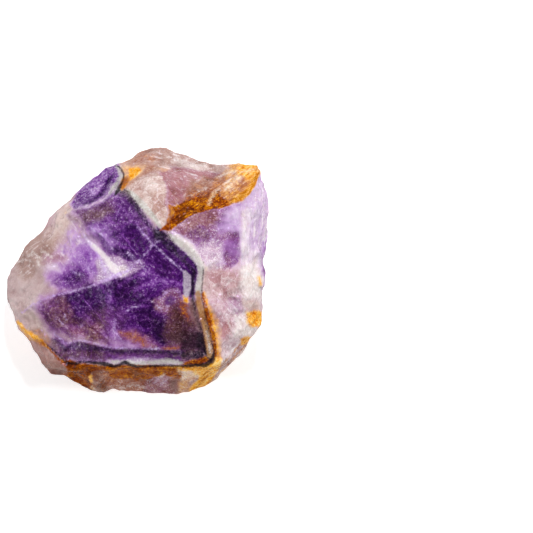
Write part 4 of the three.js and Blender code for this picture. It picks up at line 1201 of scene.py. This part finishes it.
class Quartz(Wiring):
    """The stone's material: patterns that its colours share, and its colours one over the other."""

    def __init__(self, tree):
        super().__init__(tree)
        place = self.add("ShaderNodeTexCoord").outputs["Object"]
        self.place = self.vector("SCALE", {0: place, "Scale": 1 / MM})
        self.marking = marking_group()
        self.pattern = {name: self.noise(self.place, *values) for name, values in PATTERNS.items()}
        self.pattern["streak"], self.pattern["hair"] = self.streaks()
        self.pattern["splinters"] = self.cell_shades(self.bent(*SPLINTER_BEND), SPLINTER_SCALE)
        self.chip_place = self.bent(*CHIP_BEND)
        self.pattern["chips"] = self.cell_shades(self.chip_place, CHIP_SCALE)
        self.chipped = self.times(self.step(self.attribute("frost"), "frosted_enough_to_chip"),
                                  self.step(self.attribute("violet"), "pale_enough_to_chip"))
        self.crackled = self.step(self.attribute("violet"), "violet_enough_to_crackle")
        self.flecks_and_glints = self.bright_flecks()

    def bent(self, scale, detail, reach):
        """The place on the stone, pushed about, so that what is broken there has bowed edges."""
        push = self.add("ShaderNodeTexNoise", {"Vector": self.place, "Scale": scale, "Detail": detail})
        push = self.vector("SCALE", {0: push.outputs["Color"], "Scale": reach})
        return self.vector("ADD", {0: self.place, 1: push})

    def cell_shades(self, place, scale):
        """A shade of its own for each splinter or chip."""
        cells = self.add("ShaderNodeTexVoronoi", {"Vector": place, "Scale": scale})
        return self.add("ShaderNodeSeparateColor", {"Color": cells.outputs["Color"]}).outputs["Red"]

    def streaks(self):
        """The bright slivers and the fine hair, each in its own direction."""
        drawn_out = streak_group()
        streak = 0.0
        hair = 0.0
        for name, angle in STREAK_ANGLES.items():
            inputs = {"Place": self.place, "Angle": -math.radians(angle), "Shown": self.attribute(name)}
            made = self.add("ShaderNodeGroup", inputs, node_tree=drawn_out).outputs
            streak = self.most(streak, made["Streak"])
            hair = self.plus(hair, made["Hair"])
        return streak, hair

    def bright_flecks(self):
        """Bright flecks laid into the colour: partly real frost flecks, slivers and healed seams between
        chips, partly painted glints where the facets would catch the light.
        """
        frost = self.times(self.attribute("frost"), FROST_TO_FLECKS)
        fine = self.step(self.plus(self.pattern["specks"], frost), "fine_fleck")
        coarse = self.step(self.plus(self.pattern["flecks"], frost), "coarse_fleck")
        seams = self.add("ShaderNodeTexVoronoi", {"Vector": self.chip_place, "Scale": CHIP_SCALE},
                         feature="DISTANCE_TO_EDGE").outputs["Distance"]
        healed = self.times(self.step(seams, "seam"), self.step(self.pattern["wisps"], "seam_broken_up"))
        healed = self.times(healed, self.chipped)
        flecks_and_glints = self.most(fine, coarse)
        flecks_and_glints = self.most(flecks_and_glints, self.times(self.pattern["streak"], STREAK_TO_SPARKLE))
        return self.most(flecks_and_glints, self.times(healed, SEAM_TO_SPARKLE))

    def covered(self, name):
        """How much of the surface a marking covers."""
        soft, ragged, grain = EDGES[name]
        inputs = {"Beyond": self.attribute(name), "Place": self.place}
        inputs.update({"Soft": soft, "Ragged": ragged, "Grain": grain})
        return self.add("ShaderNodeGroup", inputs, node_tree=self.marking).outputs[0]

    def stirred(self, name):
        """A tone with clouds, wisps and grain stirred in where there is any of it."""
        given = self.attribute(name)
        strays = 0.0
        for pattern, share in zip(("clouds", "wisps", "grain"), STIRRED[name]):
            strays = self.plus(strays, self.sway(self.pattern[pattern], share))
        strays = self.times(strays, self.step(given, "tone_is_there"))
        return self.math("ADD", given, strays, clamp=True)

    def cut_through(self, value, name):
        """A tone with less of it where a bright sliver or fleck cuts through."""
        return self.times(value, self.less(1.0, self.times(self.flecks_and_glints, CUTS[name])))

    def violet_depth(self):
        """How violet the quartz is, with its hair, and with its veils and bright flecks taken off."""
        veil = self.times(self.covered("veil"), self.step(self.pattern["wisps"], "veil_in_wisps"))
        violet = self.stirred("violet")
        hair = self.times(self.pattern["hair"], self.step(violet, "hair_in_violet"))
        violet = self.math("ADD", violet, hair, clamp=True)
        violet = self.times(violet, self.less(1.0, self.times(veil, VEIL_OFF_VIOLET)))
        return self.cut_through(violet, "violet")

    def body_colour(self, violet):
        """The quartz itself: violet, rose, smoky and milky, with bright flecks that are partly painted
        glints, pale lines and crackle.
        """
        colour = self.ramp(violet, VIOLETS)
        colour = self.blend(self.cut_through(self.stirred("rose"), "rose"), colour, tone(ROSE))
        colour = self.blend(self.cut_through(self.stirred("smoke"), "smoke"), colour, tone(SMOKE))
        colour = self.blend(self.stirred("milk"), colour, tone(MILK))
        # painted glints: white laid over the paler quartz where the bright flecks are
        glint = self.times(self.flecks_and_glints, self.step(violet, "glint_in_pale"))
        colour = self.blend(glint, colour, tone(GLINT))
        pale = self.times(self.covered("pale_line"), self.step(self.pattern["wisps"], "pale_line_in_wisps"))
        colour = self.blend(pale, colour, tone(PALE_LINE))
        light = self.times(self.step(self.pattern["crackle"], "light_crackle"), self.crackled)
        light = self.times(light, self.step(self.attribute("frost"), "crackle_in_frost"))
        return self.blend(light, colour, tone(CRACKLE))

    def inked(self, colour):
        """The quartz with its dark smoke, and the haze beside the dark lines."""
        colour = self.blend(self.cut_through(self.stirred("ink"), "ink"), colour, tone(INK))
        haze = self.times(self.covered("ink_haze"), self.step(self.pattern["grain"], "haze_in_grain"))
        return self.blend(self.cut_through(haze, "ink_haze"), colour, tone(INK_HAZE_TONE))

    def stain_shade(self):
        """How light or dark the gold and rust are, in grains, wisps and hair."""
        pattern = self.pattern
        shade = self.plus(self.times(pattern["wisps"], STAIN_SHADES["wisps"]),
                          self.times(pattern["grain"], STAIN_SHADES["grain"]))
        shade = self.plus(shade, self.times(pattern["hair"], STAIN_SHADES["hair"]))
        shade = self.plus(shade, self.times(pattern["streak"], STAIN_SHADES["streak"]))
        shade = self.plus(shade, self.sway(pattern["crackle"], STAIN_SHADES["crackle"]))
        shade = self.plus(shade, self.times(self.attribute("ink"), STAIN_SHADES["ink"]))
        return self.plus(shade, self.times(self.attribute("milk"), STAIN_SHADES["milk"]))

    def banded(self, colour, white):
        """The colour with the white, tan and grey bands and the dark lines laid over it."""
        colour = self.blend(white, colour, tone(WHITE_BAND))
        tan = self.times(self.covered("tan_band"), self.step(self.pattern["grain"], "tan_in_grain"))
        colour = self.blend(tan, colour, tone(TAN_BAND))
        colour = self.blend(self.times(self.covered("grey_band"), GREY_BAND_SHARE), colour, tone(GREY_BAND))
        return self.blend(self.times(self.covered("ink_line"), INK_LINE_SHARE), colour, tone(INK))

    def feathered(self, colour, violet, stained):
        """The colour with bright feathers, partly healed cracks and partly painted glints: creamy on
        stains, milky on pale quartz and lilac on violet.
        """
        flecked = self.step(self.pattern["flecks"], "feather_in_flecks")
        feather = self.times(self.covered("feather"), flecked)
        bright = self.blend(self.step(violet, "feather_on_violet"), tone(MILK), tone(PALE_LINE))
        bright = self.blend(stained, bright, tone(CREAM))
        return self.blend(self.times(feather, FEATHER_SHARE), colour, bright)

    def depth(self):
        """How deep the colour is: more so in cracks, darker in hollows and lighter on raised breaks as
        painted shade, lighter on the bright flecks, which are partly painted glints, and mottled by chips
        and splinters.
        """
        depth = self.step(self.attribute("hollow"), "hollow_painted_darker")
        mottled = self.step(self.most(self.attribute("frost"), self.attribute("violet")), "mottled")
        for name, share in MOTTLES.items():
            depth = self.less(depth, self.times(self.sway(self.pattern[name], share), mottled))
        crackle = self.sway(self.pattern["crackle"], CRACKLE_OFF_DEPTH)
        depth = self.less(depth, self.times(crackle, self.crackled))
        chips = self.sway(self.pattern["chips"], CHIPS_OFF_DEPTH)
        depth = self.less(depth, self.times(chips, self.chipped))
        depth = self.less(depth, self.times(self.flecks_and_glints, SPARKLE_OFF_DEPTH))
        depth = self.less(depth, self.times(self.pattern["hair"], HAIR_OFF_DEPTH))
        crack = self.math("ABSOLUTE", self.less(self.pattern["wisps"], CRACK_VALUE))
        crack = self.times(self.step(crack, "crack"), self.step(self.pattern["clouds"], "crack_in_clouds"))
        return self.plus(depth, self.times(crack, CRACK_TO_DEPTH))

    def broken_normal(self):
        """The surface's normal, turned on each facet, rippled, and raised a little on the streaks."""
        normal = self.add("ShaderNodeNewGeometry").outputs["Normal"]
        facets = facet_group()
        shown = self.step(self.attribute("violet"), "facets_in_pale")
        for scale, turn in FACETS:
            inputs = {"Place": self.place, "Size": scale, "Turn": self.times(shown, turn), "Normal": normal}
            normal = self.add("ShaderNodeGroup", inputs, node_tree=facets).outputs[0]
        height = self.plus(self.times(self.pattern["ripples"], RIPPLE_HEIGHT),
                           self.times(self.pattern["streak"], STREAK_HEIGHT))
        inputs = {"Height": height, "Strength": BUMP_STRENGTH, "Distance": BUMP_DEPTH, "Normal": normal}
        return self.add("ShaderNodeBump", inputs).outputs["Normal"]

    def roughness(self, rust, white):
        """How dull the surface is: a little in the wisps, and more on violet, rust and the white band."""
        rough = self.step(self.pattern["wisps"], "wisps_are_duller")
        rough = self.plus(rough, self.step(self.attribute("violet"), "violet_is_duller"))
        rough = self.plus(rough, self.times(rust, STAIN_ROUGHNESS))
        return self.math("ADD", rough, self.times(white, STAIN_ROUGHNESS), clamp=True)


def amethyst_material():
    """Banded amethyst: cloudy violet quartz with veils, bands and rust, glossy where it broke clean."""
    material = bpy.data.materials.new("banded_amethyst")
    material.use_nodes = True
    material.node_tree.nodes.clear()
    quartz = Quartz(material.node_tree)

    violet = quartz.violet_depth()
    colour = quartz.inked(quartz.body_colour(violet))
    shade = quartz.stain_shade()
    gold = quartz.step(quartz.stirred("gold"), "gold_shows")
    gold = quartz.most(gold, quartz.times(quartz.covered("gold_band"), GOLD_BAND_SHARE))
    colour = quartz.blend(gold, colour, quartz.ramp(shade, GOLDS))
    rust = quartz.step(quartz.stirred("rust"), "rust_shows")
    rust = quartz.most(rust, quartz.covered("rust_band"))
    colour = quartz.blend(rust, colour, quartz.ramp(shade, RUSTS))
    grainy = quartz.step(quartz.pattern["grain"], "white_in_grain")
    white = quartz.times(quartz.covered("white_band"), grainy)
    colour = quartz.banded(colour, white)
    colour = quartz.feathered(colour, violet, quartz.most(gold, rust))
    # The gamma deepens the colour in cracks and mottles it, and paints shade into the hollows.
    colour = quartz.add("ShaderNodeGamma", {"Color": colour, "Gamma": quartz.depth()}).outputs[0]

    surface = quartz.add("ShaderNodeBsdfPrincipled", {
        "Base Color": colour,
        "Roughness": quartz.roughness(rust, white),
        "Normal": quartz.broken_normal(),
        "IOR": QUARTZ_IOR,
        "Specular IOR Level": GLOSS_LEVEL,
        "Specular Tint": tone(GLOSS_TINT),
        "Subsurface Weight": CLOUDINESS,
        "Subsurface Radius": CLOUD_RADIUS,
        "Subsurface Scale": CLOUD_DEPTH,
    })
    quartz.add("ShaderNodeOutputMaterial", {"Surface": surface.outputs[0]})
    return material


# The table, the light and the camera

WHITE = (1, 1, 1, 1)
FLOOR_SIZE = 8
FLOOR_DROP = 0.02 * MM
FLOOR_COLOUR = (0.93, 0.93, 0.93, 1)
FLOOR_ROUGHNESS = 0.9
FLOOR_GLOW = 0.5
WORLD_STRENGTH = 0.26
# Each softbox: its place and its width in metres, and its power in watts.
SOFTBOXES = {
    "key": ((0.05, 0.36, 0.56), 0.08, 3.0),
    "side": ((0.5, -0.05, 0.35), 0.07, 1.2),
    "low": ((-0.45, -0.15, 0.35), 0.08, 1.0),
}
OUTLINE_HEIGHT = 14 * MM  # about where the stone is widest, so the camera frames it at its true size
FRAME_WIDTH = PHOTO_SIDE_PX * METRES_PER_PX
CAMERA_DISTANCE = 3.0
SENSOR_WIDTH = 36.0
CLIP_END = 20


def make_floor():
    """A white table top that is lit a little from below, as a light table is."""
    bpy.ops.object.select_all(action="DESELECT")
    bpy.ops.mesh.primitive_plane_add(size=FLOOR_SIZE, location=(0, 0, -FLOOR_DROP))
    floor = bpy.context.active_object
    floor.name = "floor"
    material = bpy.data.materials.new("white_floor")
    material.use_nodes = True
    surface = material.node_tree.nodes["Principled BSDF"]
    surface.inputs["Base Color"].default_value = FLOOR_COLOUR
    surface.inputs["Roughness"].default_value = FLOOR_ROUGHNESS
    surface.inputs["Emission Color"].default_value = WHITE
    surface.inputs["Emission Strength"].default_value = FLOOR_GLOW
    floor.data.materials.append(material)
    floor.visible_glossy = False


def softbox(name, place, size, power):
    """A square lamp that points at the stone."""
    light = bpy.data.lights.new(name, "AREA")
    light.size = size
    light.energy = power
    lamp = bpy.data.objects.new(name, light)
    bpy.context.scene.collection.objects.link(lamp)
    lamp.location = Vector(place)
    towards_stone = Vector((0, 0, OUTLINE_HEIGHT)) - lamp.location
    lamp.rotation_euler = towards_stone.to_track_quat("-Z", "Y").to_euler()


def light_scene():
    """Even white light all round, and three softboxes that give the stone its gloss."""
    world = bpy.data.worlds.new("studio")
    bpy.context.scene.world = world
    world.use_nodes = True
    background = world.node_tree.nodes["Background"]
    background.inputs["Color"].default_value = WHITE
    background.inputs["Strength"].default_value = WORLD_STRENGTH
    for name, (place, size, power) in SOFTBOXES.items():
        softbox(name, place, size, power)


def make_camera():
    """Looks straight down over the middle of the photograph, through a long lens."""
    middle = on_stone(PHOTO_SIDE_PX / 2, PHOTO_SIDE_PX / 2)
    lens = bpy.data.cameras.new("camera")
    lens.sensor_width = SENSOR_WIDTH
    lens.lens = SENSOR_WIDTH * CAMERA_DISTANCE / FRAME_WIDTH
    lens.clip_end = CLIP_END
    camera = bpy.data.objects.new("camera", lens)
    bpy.context.scene.collection.objects.link(camera)
    camera.location = (*middle, OUTLINE_HEIGHT + CAMERA_DISTANCE)
    bpy.context.scene.camera = camera


bpy.context.scene.view_settings.view_transform = "Standard"
make_camera()
light_scene()
make_floor()

stone = make_stone()
colour_stone(stone)
stone.data.materials.append(amethyst_material())
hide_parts("stone")
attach(stone, "root")
